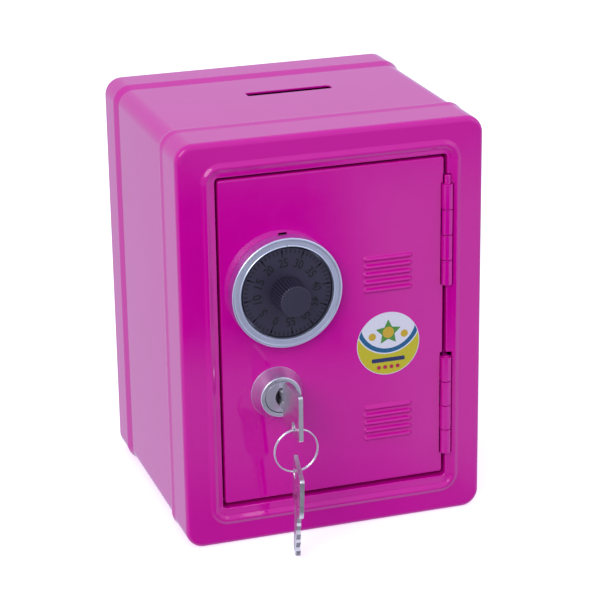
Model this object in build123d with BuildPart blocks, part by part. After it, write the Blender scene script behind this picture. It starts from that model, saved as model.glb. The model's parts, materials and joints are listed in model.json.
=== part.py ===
"""Toy safe coin bank: a pressed-steel case with a hinged door, a clicking dial and a key lock.

Millimetres, +Z up, the door at the front, facing -Y.  The safe stands on z = 0.  The origin is
on the floor under the middle of the overall box, from the hanging keys to the rear cover.
"""
import math
import os

from build123d import *

# ---- Case: a wrapped body between two pressed pans -----------------------------------------
case_width = 122.0
case_height = 163.0
case_depth = 108.8
sheet = 0.8                  # steel sheet of the case and the door
rim_corner = 7.0             # outer corner radius of both pans, seen from the front
rim_depth = 21.0             # how far a pan's skirt reaches along the case
rim_round = 2.6              # rounding between a pan's face and its skirt
hem_run = 4.0                # sloped hem at the skirt's end
hem_rise = 0.7
wrap_setback = 3.0           # from a pan's face to the end of the wrapped body inside it
keys_stand_out = 37.7        # the hanging keys reach this far in front of the case

# ---- Front frame: opening, raised bead, return flange and stop lip ---------------------------
frame_side_margin = 14.8     # frame face between the opening and the outside of the case
frame_bottom_margin = 15.4
frame_top_margin = 13.8
opening_corner = 1.6
bead_width = 4.4
bead_height = 1.0
bead_corner = 3.6
bead_side_gap = 1.4          # from the opening to the foot of the bead
bead_top_gap = 1.7
bead_bottom_gap = 2.7
stop_lip = 3.0               # how far the lip that stops the door reaches into the opening
stop_gap = 0.5               # between the closed door and the stop lip

# ---- Door: a folded pan with two groups of embossed louvres ----------------------------------
door_recess = 0.6            # door face behind the frame face
door_fold = 6.0              # depth of the folded edges
door_fold_round = 1.0
door_corner = 1.2
door_side_gap = 1.1
door_top_gap = 1.1
door_bottom_gap = 1.7
louvre_length = 20.6
louvre_width = 2.0
louvre_height = 0.7
louvre_round = 0.6
louvre_pitch = 3.2
louvre_count = 5
louvre_from_hinge_edge = 22.4
louvre_from_middle = (21.5, -40.0)

# ---- Hinges: two leaves and a pin each, four knuckles ----------------------------------------
upper_hinge_below_top = 10.7
lower_hinge_above_bottom = 8.65
pin_stand_up = {"upper": 3.6, "lower": 0.4}
knuckle_count = 4
knuckle_pitch = 10.25
knuckle_gap = 0.35
knuckle_radius = 2.15
pin_radius = 1.25
pin_fit = 0.05               # radial running clearance of the pin
pin_tip_round = 0.5
leaf_sheet = 0.8
leaf_bend_start = 2.2        # the leaf steps sideways between these two depths
leaf_bend_end = 3.2
leaf_end_gap = 0.4
hinge_notch_depth = 3.5
hinge_notch_gap = 0.3
hinge_notch_above = 3.9

# ---- Dial: bezel, numbered disc with a fluted knob, click wheel -------------------------------
dial_from_free_edge = 25.0
dial_above_middle = 20.2
bezel_radius = 21.9
bezel_rim = 3.9
bezel_depth = 5.5
bezel_floor = 1.0
bezel_round = 0.6
index_width = 0.6
index_depth = 0.25
tab_count = 3
tab_start = 105.0            # degrees from 3 o'clock, clear of the tool mark at 12 o'clock
tab_outside_bore = 1.6
tab_sheet = 1.2
tab_width = 4.0
tab_foot = 3.2
tab_gap = 0.3
bezel_notch_width = 2.2
bezel_notch_reach = 0.9
disc_gap = 0.4               # between the disc and the bezel's bore
disc_recess = 1.0
disc_thickness = 2.2
knob_base_radius = 6.75
knob_taper = 3.9
knob_stand_out = 10.0        # knob face in front of the bezel
knob_flutes = 24
knob_flute_radius = 0.5
shaft_radius = 3.5
shaft_fit = 0.08
square_side = 4.6
click_wheel_radius = 9.0
click_wheel_thickness = 2.5
click_notches = 12
click_notch_radius = 1.1
door_back_gap = 0.5          # between the door's back and what turns behind it
dial_washer_radius = 4.0
dial_washer_thickness = 0.6
dial_screw_radius = 1.2
dial_screw_length = 7.0
dial_screw_head_radius = 2.8
dial_screw_head = 1.6
spring_sheet = 0.4
spring_width = 2.8
spring_gap = 0.35
spring_length = 21.0
spring_foot = 8.0
spring_foot_height = 7.0

# ---- Cam lock --------------------------------------------------------------------------------
lock_from_free_edge = 21.5
lock_below_middle = 21.4
plug_radius = 6.25
barrel_wall = 1.25
collar_face_ring = 1.75      # width of the collar's flat face round the plug
collar_slope = 2.35
collar_height = 6.2
collar_round = 0.4
plug_fit = 0.05
plug_recess = 0.3
plug_tail = 1.6
cam_sheet = 1.5
cam_length = 25.0
cam_width = 10.0
cam_lip_gap = 0.5            # between the locked cam and the back of the stop lip
cam_crank_start = 8.8
cam_crank_end = 13.2
tang_side = 6.0
nut_wall = 2.0
nut_thickness = 3.0
lock_fit = 0.1
cam_washer_radius = 4.5
cam_washer_thickness = 0.8
cam_screw_radius = 1.25
cam_screw_bite = 2.2
cam_screw_head_radius = 3.0
cam_screw_head = 1.8
wafer_count = 4
wafer_pitch = 3.0
wafer_sheet = 0.5
wafer_width = 4.8
wafer_rail = 1.75            # metal above and below a wafer's window
wafer_gap = 0.1

# ---- Keys and ring ---------------------------------------------------------------------------
key_sheet = 1.7
key_length = 41.5
bow_length = 19.5
bow_width = 18.5
bow_outer_corner = 1.4
bow_inner_corner = 5.5
blade_width = 7.0
blade_tip = 2.2
key_hole_radius = 2.0
key_hole_from_end = 6.5
key_hole_from_side = 4.05
bitting_count = 4
bitting_depth = 1.3
key_show = 4.2               # blade left outside the lock when the key is home
keyway_gap = 0.25
ring_radius = 8.6            # to the middle of the wire
ring_wire = 0.6
ring_play = 0.35             # between the wire and the edge of a key hole
spare_turn = 10.0            # the spare key hangs turned about the vertical by this
spare_lean = 12.0            # and leans back by this, its hole being off its axis

# ---- Coin slot and label ---------------------------------------------------------------------
slot_length = 35.2
slot_width = 5.0
slot_corner = 1.0
slot_x = 3.9
slot_from_front = 64.4
label_from_hinge_edge = 22.9
label_below_middle = 7.6
label_radius = 12.9
label_thickness = 0.15

# ---- Places that several pieces share --------------------------------------------------------
front_y = (keys_stand_out - case_depth) / 2
rear_y = front_y + case_depth
door_y = front_y + door_recess
door_back_y = door_y + sheet
flange_depth = door_recess + door_fold + stop_gap + sheet
opening_width = case_width - 2 * frame_side_margin
opening_bottom = frame_bottom_margin
opening_top = case_height - frame_top_margin
opening_height = opening_top - opening_bottom
opening_mid_z = (opening_top + opening_bottom) / 2
door_width = opening_width - 2 * door_side_gap
door_bottom = opening_bottom + door_bottom_gap
door_top = opening_top - door_top_gap
door_height = door_top - door_bottom
door_mid_z = (door_top + door_bottom) / 2
hinge_x = opening_width / 2
hinge_length = knuckle_count * knuckle_pitch - knuckle_gap
knuckle_length = knuckle_pitch - knuckle_gap
hinge_top_z = {"upper": door_top - upper_hinge_below_top,
               "lower": door_bottom + lower_hinge_above_bottom + hinge_length}
dial_x = dial_from_free_edge - door_width / 2
dial_z = door_mid_z + dial_above_middle
lock_x = lock_from_free_edge - door_width / 2
lock_z = door_mid_z - lock_below_middle
label_x = door_width / 2 - label_from_hinge_edge
label_z = door_mid_z - label_below_middle
louvre_x = door_width / 2 - louvre_from_hinge_edge
louvre_group_z = [door_mid_z + step for step in louvre_from_middle]
bezel_bore = bezel_radius - bezel_rim
tab_radius = bezel_bore + tab_outside_bore
barrel_radius = plug_radius + barrel_wall
collar_face_radius = plug_radius + collar_face_ring
collar_base_radius = collar_face_radius + collar_slope
key_hole_off_axis = bow_width / 2 - key_hole_from_side
lock_axis = Axis((lock_x, 0, lock_z), (0, 1, 0))


def facing_front(y: float) -> Plane:
    """Plane at depth y whose sketch reads X, Z and whose normal points to the front."""
    return Plane.XZ.offset(-y)


def save(piece: BuildPart, name: str) -> None:
    """Label one finished piece and write it to its own file."""
    piece.part.label = name
    export_step(piece.part, f"parts/{name}.step")


os.makedirs("parts", exist_ok=True)

# ==== Case ====================================================================================
wrap_width = case_width - 2 * sheet
wrap_height = case_height - 2 * sheet
wrap_corner = rim_corner - sheet

with BuildPart() as body_wrap:
    with BuildSketch(facing_front(front_y + wrap_setback)):
        with Locations((0, case_height / 2)):
            RectangleRounded(wrap_width, wrap_height, wrap_corner)
            RectangleRounded(wrap_width - 2 * sheet, wrap_height - 2 * sheet,
                             wrap_corner - sheet, mode=Mode.SUBTRACT)
    extrude(amount=-(case_depth - 2 * wrap_setback))
    with BuildSketch(Plane.XY.offset(case_height - 3 * sheet)):
        with Locations((slot_x, front_y + slot_from_front)):
            RectangleRounded(slot_length, slot_width, slot_corner)
    extrude(amount=3 * sheet, mode=Mode.SUBTRACT)
save(body_wrap, "body_wrap")


def case_outline(y: float) -> Sketch:
    """Outer outline of a pan, drawn at depth y."""
    with BuildSketch(facing_front(y)) as outline:
        with Locations((0, case_height / 2)):
            RectangleRounded(case_width, case_height, rim_corner)
    return outline.sketch


hem_slope = math.degrees(math.atan(hem_rise / hem_run))
skirt_straight = rim_depth - hem_run

with BuildPart() as front_frame:
    extrude(case_outline(front_y), amount=-skirt_straight)
    extrude(case_outline(front_y + skirt_straight), amount=-hem_run, taper=hem_slope)
    fillet(front_frame.faces().sort_by(Axis.Y)[0].edges(), rim_round)
    with BuildSketch(facing_front(front_y + sheet)):
        with Locations((0, case_height / 2)):
            RectangleRounded(wrap_width, wrap_height, wrap_corner)
    extrude(amount=-rim_depth, mode=Mode.SUBTRACT)
    pan_floor = front_frame.faces().filter_by(Axis.Y).sort_by(Axis.Y)[1]
    fillet(pan_floor.edges(), rim_round - sheet)
    with BuildSketch(facing_front(front_y)):
        with Locations((0, opening_mid_z)):
            RectangleRounded(opening_width + 2 * sheet, opening_height + 2 * sheet,
                             opening_corner + sheet)
    extrude(amount=-flange_depth)
    with BuildSketch(facing_front(front_y)):
        with Locations((0, opening_mid_z)):
            RectangleRounded(opening_width, opening_height, opening_corner)
    extrude(amount=-(flange_depth - sheet), mode=Mode.SUBTRACT)
    with BuildSketch(facing_front(front_y)):
        with Locations((0, opening_mid_z)):
            RectangleRounded(opening_width - 2 * stop_lip, opening_height - 2 * stop_lip,
                             opening_corner)
    extrude(amount=-flange_depth, mode=Mode.SUBTRACT)
    bead_low = opening_bottom - bead_bottom_gap
    bead_high = opening_top + bead_top_gap
    bead_inner_width = opening_width + 2 * bead_side_gap
    bead_inner_height = bead_high - bead_low
    with BuildSketch(facing_front(front_y)):
        with Locations((0, (bead_low + bead_high) / 2)):
            RectangleRounded(bead_inner_width + 2 * bead_width,
                             bead_inner_height + 2 * bead_width, bead_corner + bead_width)
            RectangleRounded(bead_inner_width, bead_inner_height, bead_corner,
                             mode=Mode.SUBTRACT)
    extrude(amount=bead_height)
    fillet(front_frame.faces().sort_by(Axis.Y)[0].edges(), bead_height * 0.9)
    for top_z in hinge_top_z.values():
        notch_low = top_z - hinge_length - hinge_notch_gap
        notch_high = top_z + hinge_notch_above
        notch_width = knuckle_radius + hinge_notch_gap
        with Locations((hinge_x + notch_width / 2, front_y, (notch_low + notch_high) / 2)):
            Box(notch_width, 2 * hinge_notch_depth, notch_high - notch_low, mode=Mode.SUBTRACT)
save(front_frame, "front_frame")

with BuildPart() as rear_cover:
    extrude(case_outline(rear_y), amount=skirt_straight)
    extrude(case_outline(rear_y - skirt_straight), amount=hem_run, taper=hem_slope)
    fillet(rear_cover.faces().sort_by(Axis.Y)[-1].edges(), rim_round)
    with BuildSketch(facing_front(rear_y - sheet)):
        with Locations((0, case_height / 2)):
            RectangleRounded(wrap_width, wrap_height, wrap_corner)
    extrude(amount=rim_depth, mode=Mode.SUBTRACT)
    pan_floor = rear_cover.faces().filter_by(Axis.Y).sort_by(Axis.Y)[-2]
    fillet(pan_floor.edges(), rim_round - sheet)
save(rear_cover, "rear_cover")

# ==== Door ====================================================================================
with BuildPart() as door_panel:
    with BuildSketch(facing_front(door_y)):
        with Locations((0, door_mid_z)):
            RectangleRounded(door_width, door_height, door_corner)
    extrude(amount=-door_fold)
    fillet(door_panel.faces().sort_by(Axis.Y)[0].edges(), door_fold_round)
    with BuildSketch(facing_front(door_back_y)):
        with Locations((0, door_mid_z)):
            RectangleRounded(door_width - 2 * sheet, door_height - 2 * sheet,
                             door_corner - sheet / 2)
    extrude(amount=-door_fold, mode=Mode.SUBTRACT)
    for group_z in louvre_group_z:
        with BuildSketch(facing_front(door_y)):
            with Locations((louvre_x, group_z)):
                with GridLocations(0, louvre_pitch, 1, louvre_count):
                    SlotOverall(louvre_length, louvre_width)
        extrude(amount=louvre_height)
    fillet(door_panel.faces().sort_by(Axis.Y)[:2 * louvre_count].edges(), louvre_round)
    for group_z in louvre_group_z:
        with BuildSketch(facing_front(door_back_y)):
            with Locations((louvre_x, group_z)):
                with GridLocations(0, louvre_pitch, 1, louvre_count):
                    SlotOverall(louvre_length - louvre_width / 2, louvre_width / 2)
        extrude(amount=sheet, mode=Mode.SUBTRACT)
    with BuildSketch(facing_front(door_y)):
        with Locations((dial_x, dial_z)):
            Circle(shaft_radius + 2 * tab_gap)
            with PolarLocations(tab_radius, tab_count, start_angle=tab_start):
                Rectangle(tab_sheet + 2 * tab_gap, tab_width + 2 * tab_gap)
        with Locations((dial_x, dial_z + bezel_radius)):
            Rectangle(bezel_notch_width, 2 * bezel_notch_reach)
        with Locations((lock_x, lock_z)):
            Circle(barrel_radius + lock_fit)
    extrude(amount=-sheet, mode=Mode.SUBTRACT)
    for top_z in hinge_top_z.values():
        notch_low = top_z - hinge_length - hinge_notch_gap
        notch_high = top_z + hinge_notch_above
        notch_width = knuckle_radius + hinge_notch_gap
        with Locations((hinge_x - notch_width / 2, front_y, (notch_low + notch_high) / 2)):
            Box(notch_width, 2 * hinge_notch_depth, notch_high - notch_low, mode=Mode.SUBTRACT)
save(door_panel, "door_panel")

with BuildPart() as door_label:
    with BuildSketch(facing_front(door_y)):
        with Locations((label_x, label_z)):
            Circle(label_radius)
    extrude(amount=label_thickness)
save(door_label, "door_label")

# ==== Hinges ==================================================================================
frame_leaf_face = opening_width / 2 + sheet       # outer side of the frame's return flange
door_leaf_face = door_width / 2 - sheet           # inner side of the door's fold
leaf_depth = {"frame": flange_depth - leaf_end_gap, "door": door_recess + door_fold - leaf_end_gap}
leaf_side = {"frame": 1, "door": -1}
leaf_face = {"frame": frame_leaf_face, "door": door_leaf_face}
first_knuckle = {"door": 0, "frame": 1}           # the top knuckle belongs to the door

for hinge_name, top_z in hinge_top_z.items():
    for owner, side in leaf_side.items():
        tangent = hinge_x + side * knuckle_radius
        flat = leaf_face[owner]
        thick = side * leaf_sheet
        with BuildPart() as leaf:
            with BuildSketch(Plane.XY.offset(top_z - hinge_length)):
                with BuildLine():
                    Polyline((flat, front_y + leaf_bend_end), (flat + thick, front_y + leaf_bend_end),
                             (flat + thick, front_y + leaf_depth[owner]),
                             (flat, front_y + leaf_depth[owner]), close=True)
                make_face()
            extrude(amount=hinge_length)
            for place in range(first_knuckle[owner], knuckle_count, 2):
                knuckle_top = top_z - place * knuckle_pitch
                with BuildSketch(Plane.XY.offset(knuckle_top - knuckle_length)):
                    with BuildLine():
                        Polyline((tangent, front_y), (tangent, front_y + leaf_bend_start),
                                 (flat + thick, front_y + leaf_bend_end),
                                 (flat, front_y + leaf_bend_end),
                                 (tangent - thick, front_y + leaf_bend_start),
                                 (tangent - thick, front_y), close=True)
                    make_face()
                    with Locations((hinge_x, front_y)):
                        Circle(knuckle_radius)
                        Circle(pin_radius + pin_fit, mode=Mode.SUBTRACT)
                extrude(amount=knuckle_length)
        save(leaf, f"{hinge_name}_hinge_{owner}_leaf")

    with BuildPart() as pin:
        with BuildSketch(Plane.XY.offset(top_z - hinge_length)):
            with Locations((hinge_x, front_y)):
                Circle(pin_radius)
        extrude(amount=hinge_length + pin_stand_up[hinge_name])
        fillet(pin.edges().sort_by(Axis.Z)[-1], min(pin_tip_round, pin_stand_up[hinge_name] / 2))
    save(pin, f"{hinge_name}_hinge_pin")

# ==== Dial ====================================================================================
bezel_front_y = door_y - bezel_depth
disc_front_y = bezel_front_y + disc_recess
disc_back_y = disc_front_y + disc_thickness
knob_face_y = bezel_front_y - knob_stand_out
wheel_front_y = door_back_y + door_back_gap
wheel_back_y = wheel_front_y + click_wheel_thickness

with BuildPart() as dial_housing:
    with BuildSketch(facing_front(door_y)):
        with Locations((dial_x, dial_z)):
            Circle(bezel_radius)
    extrude(amount=bezel_depth)
    with BuildSketch(facing_front(door_y - bezel_floor)):
        with Locations((dial_x, dial_z)):
            Circle(bezel_bore)
    extrude(amount=bezel_depth, mode=Mode.SUBTRACT)
    fillet(dial_housing.faces().sort_by(Axis.Y)[0].edges(), bezel_round)
    with BuildSketch(facing_front(door_y)):
        with Locations((dial_x, dial_z)):
            Circle(shaft_radius + shaft_fit)
    extrude(amount=bezel_floor, mode=Mode.SUBTRACT)
    bezel_middle = (bezel_radius + bezel_bore) / 2
    with Locations((dial_x, bezel_front_y, dial_z + bezel_middle)):
        Box(index_width, 2 * index_depth, bezel_radius - bezel_bore - 2 * bezel_round,
            mode=Mode.SUBTRACT)
    with BuildSketch(facing_front(door_y)):
        with Locations((dial_x, dial_z)):
            with PolarLocations(tab_radius, tab_count, start_angle=tab_start):
                Rectangle(tab_sheet, tab_width)
    extrude(amount=-(sheet + tab_sheet))
    with BuildSketch(facing_front(door_back_y)):
        with Locations((dial_x, dial_z)):
            with PolarLocations(tab_radius + tab_foot / 2, tab_count, start_angle=tab_start):
                Rectangle(tab_foot + tab_sheet, tab_width)
    extrude(amount=-tab_sheet)
save(dial_housing, "dial_housing")

with BuildPart() as dial:
    with BuildSketch(facing_front(disc_back_y)):
        with Locations((dial_x, dial_z)):
            Circle(bezel_bore - disc_gap)
    extrude(amount=disc_thickness)
    with BuildSketch(facing_front(disc_front_y)):
        with Locations((dial_x, dial_z)):
            Circle(knob_base_radius)
    extrude(amount=disc_front_y - knob_face_y, taper=knob_taper)
    fillet(dial.faces().sort_by(Axis.Y)[0].edges(), knob_flute_radius)
    with BuildSketch(facing_front(disc_front_y)):
        with Locations((dial_x, dial_z)):
            with PolarLocations(knob_base_radius, knob_flutes):
                Circle(knob_flute_radius)
    extrude(amount=disc_front_y - knob_face_y, taper=-knob_taper / 2, mode=Mode.SUBTRACT)
    with BuildSketch(facing_front(disc_back_y)):
        with Locations((dial_x, dial_z)):
            Circle(shaft_radius)
    extrude(amount=-(wheel_front_y - disc_back_y))
    with BuildSketch(facing_front(wheel_front_y)):
        with Locations((dial_x, dial_z)):
            Rectangle(square_side, square_side)
    extrude(amount=-click_wheel_thickness)
    with BuildSketch(facing_front(wheel_back_y)):
        with Locations((dial_x, dial_z)):
            Circle(dial_screw_radius)
    extrude(amount=dial_screw_length, mode=Mode.SUBTRACT)
save(dial, "dial")

with BuildPart() as dial_click_wheel:
    with BuildSketch(facing_front(wheel_front_y)):
        with Locations((dial_x, dial_z)):
            Circle(click_wheel_radius)
            Rectangle(square_side, square_side, mode=Mode.SUBTRACT)
            with PolarLocations(click_wheel_radius, click_notches):
                Circle(click_notch_radius, mode=Mode.SUBTRACT)
    extrude(amount=-click_wheel_thickness)
save(dial_click_wheel, "dial_click_wheel")

with BuildPart() as dial_washer:
    with BuildSketch(facing_front(wheel_back_y)):
        with Locations((dial_x, dial_z)):
            Circle(dial_washer_radius)
            Circle(dial_screw_radius, mode=Mode.SUBTRACT)
    extrude(amount=-dial_washer_thickness)
save(dial_washer, "dial_washer")

with BuildPart() as dial_screw:
    screw_seat_y = wheel_back_y + dial_washer_thickness
    with BuildSketch(facing_front(screw_seat_y)):
        with Locations((dial_x, dial_z)):
            Circle(dial_screw_head_radius)
    extrude(amount=-dial_screw_head)
    with BuildSketch(facing_front(screw_seat_y)):
        with Locations((dial_x, dial_z)):
            Circle(dial_screw_radius)
    extrude(amount=dial_screw_length + dial_washer_thickness - door_back_gap)
    fillet(dial_screw.faces().sort_by(Axis.Y)[-1].edges(), dial_screw_head / 4)
    with Locations((dial_x, screw_seat_y + dial_screw_head, dial_z)):
        Box(2 * dial_screw_head_radius, dial_screw_head, dial_screw_head / 2, mode=Mode.SUBTRACT)
save(dial_screw, "dial_screw")

spring_x = dial_x - click_wheel_radius - spring_gap - spring_sheet / 2
with BuildPart() as dial_click_spring:
    with Locations((spring_x, door_back_y + spring_width / 2, dial_z + spring_length / 3)):
        Box(spring_sheet, spring_width, spring_length)
    foot_x = spring_x + spring_sheet / 2 - spring_foot / 2
    foot_z = dial_z + spring_length / 3 + (spring_length - spring_foot_height) / 2
    with Locations((foot_x, door_back_y + spring_sheet / 2, foot_z)):
        Box(spring_foot, spring_sheet, spring_foot_height)
save(dial_click_spring, "dial_click_spring")

# ==== Key sizes that the lock needs ===========================================================
lock_face_y = door_y - collar_height
bow_inner_y = lock_face_y - key_show
key_end_y = bow_inner_y - bow_length
key_tip_y = key_end_y + key_length
keyway_end_y = key_tip_y + keyway_gap
plug_back_y = keyway_end_y + plug_tail
tang_back_y = plug_back_y + cam_sheet

# ==== Lock ====================================================================================
with BuildPart() as lock_housing:
    with BuildSketch(Plane.XY.offset(lock_z)):
        with BuildLine():
            Polyline((lock_x + plug_radius + plug_fit, lock_face_y),
                     (lock_x + collar_face_radius, lock_face_y),
                     (lock_x + collar_base_radius, door_y), (lock_x + barrel_radius, door_y),
                     (lock_x + barrel_radius, plug_back_y),
                     (lock_x + plug_radius + plug_fit, plug_back_y), close=True)
        make_face()
    revolve(axis=lock_axis)
    fillet(lock_housing.edges().sort_by(Axis.Y)[:2].sort_by(SortBy.RADIUS)[-1], collar_round)
save(lock_housing, "lock_housing")

with BuildPart() as lock_plug:
    with BuildSketch(facing_front(plug_back_y)):
        with Locations((lock_x, lock_z)):
            Circle(plug_radius)
    extrude(amount=plug_back_y - lock_face_y - plug_recess)
    with BuildSketch(facing_front(plug_back_y)):
        with Locations((lock_x, lock_z)):
            Rectangle(tang_side, tang_side)
    extrude(amount=-cam_sheet)
    with BuildSketch(facing_front(keyway_end_y)):
        with Locations((lock_x, lock_z)):
            Rectangle(key_sheet + 2 * keyway_gap, blade_width + 2 * keyway_gap)
    extrude(amount=keyway_end_y - lock_face_y, mode=Mode.SUBTRACT)
    for place in range(wafer_count):
        slot_y = door_y + (place - (wafer_count - 1) / 2) * wafer_pitch
        with Locations((lock_x, slot_y, lock_z)):
            Box(wafer_width + 2 * wafer_gap, wafer_sheet + 2 * wafer_gap, 2 * plug_radius,
                mode=Mode.SUBTRACT)
    with BuildSketch(facing_front(tang_back_y)):
        with Locations((lock_x, lock_z)):
            Circle(cam_screw_radius)
    extrude(amount=cam_screw_bite, mode=Mode.SUBTRACT)
save(lock_plug, "lock_plug")

wafer_window = blade_width + 2 * keyway_gap
with BuildPart() as lock_wafers:
    for place in range(wafer_count):
        slot_y = door_y + (place - (wafer_count - 1) / 2) * wafer_pitch
        with Locations((lock_x, slot_y, lock_z)):
            Box(wafer_width, wafer_sheet, wafer_window + 2 * wafer_rail)
            Box(key_sheet + 2 * keyway_gap, wafer_sheet, wafer_window, mode=Mode.SUBTRACT)
save(lock_wafers, "lock_wafers")

with BuildPart() as lock_nut:
    with BuildSketch(facing_front(door_back_y)):
        with Locations((lock_x, lock_z)):
            RegularPolygon(barrel_radius + nut_wall, 6, major_radius=False)
            Circle(barrel_radius + plug_fit, mode=Mode.SUBTRACT)
    extrude(amount=-nut_thickness)
save(lock_nut, "lock_nut")

cam_tip_y = front_y + flange_depth + cam_lip_gap
with BuildPart() as lock_cam:
    with BuildSketch(Plane.YZ.offset(lock_x)):
        with BuildLine():
            Polyline((plug_back_y, lock_z + cam_width / 2), (tang_back_y, lock_z + cam_width / 2),
                     (tang_back_y, lock_z - cam_crank_start),
                     (cam_tip_y + cam_sheet, lock_z - cam_crank_end),
                     (cam_tip_y + cam_sheet, lock_z - cam_length),
                     (cam_tip_y, lock_z - cam_length), (cam_tip_y, lock_z - cam_crank_end),
                     (plug_back_y, lock_z - cam_crank_start), close=True)
        make_face()
    extrude(amount=cam_width / 2, both=True)
    fillet(lock_cam.edges().filter_by(Axis.Y).group_by(Axis.Z)[0], cam_width / 3)
    fillet(lock_cam.edges().filter_by(Axis.Y).group_by(Axis.Z)[-1], cam_width / 3)
    with BuildSketch(facing_front(plug_back_y)):
        with Locations((lock_x, lock_z)):
            Rectangle(tang_side, tang_side)
    extrude(amount=-cam_sheet, mode=Mode.SUBTRACT)
save(lock_cam, "lock_cam")

with BuildPart() as cam_washer:
    with BuildSketch(facing_front(tang_back_y)):
        with Locations((lock_x, lock_z)):
            Circle(cam_washer_radius)
            Circle(cam_screw_radius, mode=Mode.SUBTRACT)
    extrude(amount=-cam_washer_thickness)
save(cam_washer, "cam_washer")

with BuildPart() as cam_screw:
    cam_screw_seat_y = tang_back_y + cam_washer_thickness
    with BuildSketch(facing_front(cam_screw_seat_y)):
        with Locations((lock_x, lock_z)):
            Circle(cam_screw_head_radius)
    extrude(amount=-cam_screw_head)
    with BuildSketch(facing_front(cam_screw_seat_y)):
        with Locations((lock_x, lock_z)):
            Circle(cam_screw_radius)
    extrude(amount=cam_washer_thickness + cam_screw_bite - keyway_gap)
    fillet(cam_screw.faces().sort_by(Axis.Y)[-1].edges(), cam_screw_head / 4)
    with Locations((lock_x, cam_screw_seat_y + cam_screw_head, lock_z)):
        Box(2 * cam_screw_head_radius, cam_screw_head, cam_screw_head / 2, mode=Mode.SUBTRACT)
save(cam_screw, "cam_screw")


# ==== Keys and ring ===========================================================================
def key_outline(plane: Plane) -> Sketch:
    """Outline of the flat key.

    The plane's origin is the middle of the key hole, its x runs across the bow towards the
    blade's axis and its y runs along the key towards the tip.
    """
    bow_end = bow_length - key_hole_from_end
    blade_end = key_length - key_hole_from_end
    blade_low = key_hole_off_axis - blade_width / 2
    blade_high = key_hole_off_axis + blade_width / 2
    with BuildSketch(plane) as outline:
        with Locations((key_hole_off_axis, bow_length / 2 - key_hole_from_end)):
            bow = Rectangle(bow_width, bow_length)
        fillet(bow.vertices().group_by(Axis.Y)[-1], bow_inner_corner)
        with BuildLine():
            Polyline((blade_low, bow_end - bow_inner_corner), (blade_low, blade_end - blade_tip),
                     (key_hole_off_axis, blade_end), (blade_high, blade_end - blade_tip),
                     (blade_high, bow_end - bow_inner_corner), close=True)
        make_face()
        bite_pitch = (blade_end - blade_tip - bow_end) / (bitting_count + 1)
        for bite in range(bitting_count):
            with Locations((blade_high, bow_end + (bite + 1) * bite_pitch)):
                Rectangle(2 * bitting_depth * (1 + bite % 2) / 2, bite_pitch / 2, mode=Mode.SUBTRACT)
        Circle(key_hole_radius, mode=Mode.SUBTRACT)
    return outline.sketch


hole_y = key_end_y + key_hole_from_end
hole_z = lock_z - key_hole_off_axis
wire_drop = key_hole_radius - ring_wire - ring_play
ring_top_z = hole_z - wire_drop
ring_bottom_z = ring_top_z - 2 * ring_radius

with BuildPart() as key:
    home_plane = Plane(origin=(lock_x, hole_y, hole_z), x_dir=(0, 0, 1), z_dir=(-1, 0, 0))
    extrude(key_outline(home_plane), amount=key_sheet / 2, both=True)
    outer_corners = key.edges().filter_by(Axis.X).group_by(Axis.Y)[0]
    fillet(outer_corners, bow_outer_corner)
save(key, "key")

with BuildPart() as key_ring:
    with BuildSketch(Plane.YZ.offset(lock_x)):
        with Locations((hole_y, ring_top_z)):
            Circle(ring_wire)
    revolve(axis=Axis((lock_x, hole_y, ring_top_z - ring_radius), (0, 1, 0)))
save(key_ring, "key_ring")

lean = math.radians(spare_lean)
turn = math.radians(spare_turn)
across = Vector(-math.cos(lean) * math.sin(turn), -math.cos(lean) * math.cos(turn),
                -math.sin(lean))
along = Vector(math.sin(lean) * math.sin(turn), math.sin(lean) * math.cos(turn), -math.cos(lean))
spare_plane = Plane(origin=(lock_x, hole_y, ring_bottom_z - wire_drop), x_dir=across,
                    z_dir=across.cross(along))

with BuildPart() as spare_key:
    extrude(key_outline(spare_plane), amount=key_sheet / 2, both=True)
    spare_corners = spare_key.edges().filter_by(Axis((0, 0, 0), spare_plane.z_dir))
    fillet(spare_corners.group_by(Axis(spare_plane.origin, along))[0], bow_outer_corner)
save(spare_key, "spare_key")
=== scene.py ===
"""Toy safe coin bank: the looks of its pressed and painted case, dial, lock and keys.

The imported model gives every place.  Each class below rebuilds or dresses one sub-assembly of
the safe, in metres, where the model has it.
"""
import json
import logging
import math
from dataclasses import dataclass, field
from enum import Enum
from typing import Callable, Dict, Iterable, List, Optional, Sequence, Tuple, Union

import bmesh
import bpy
from mathutils import Matrix, Vector

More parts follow.
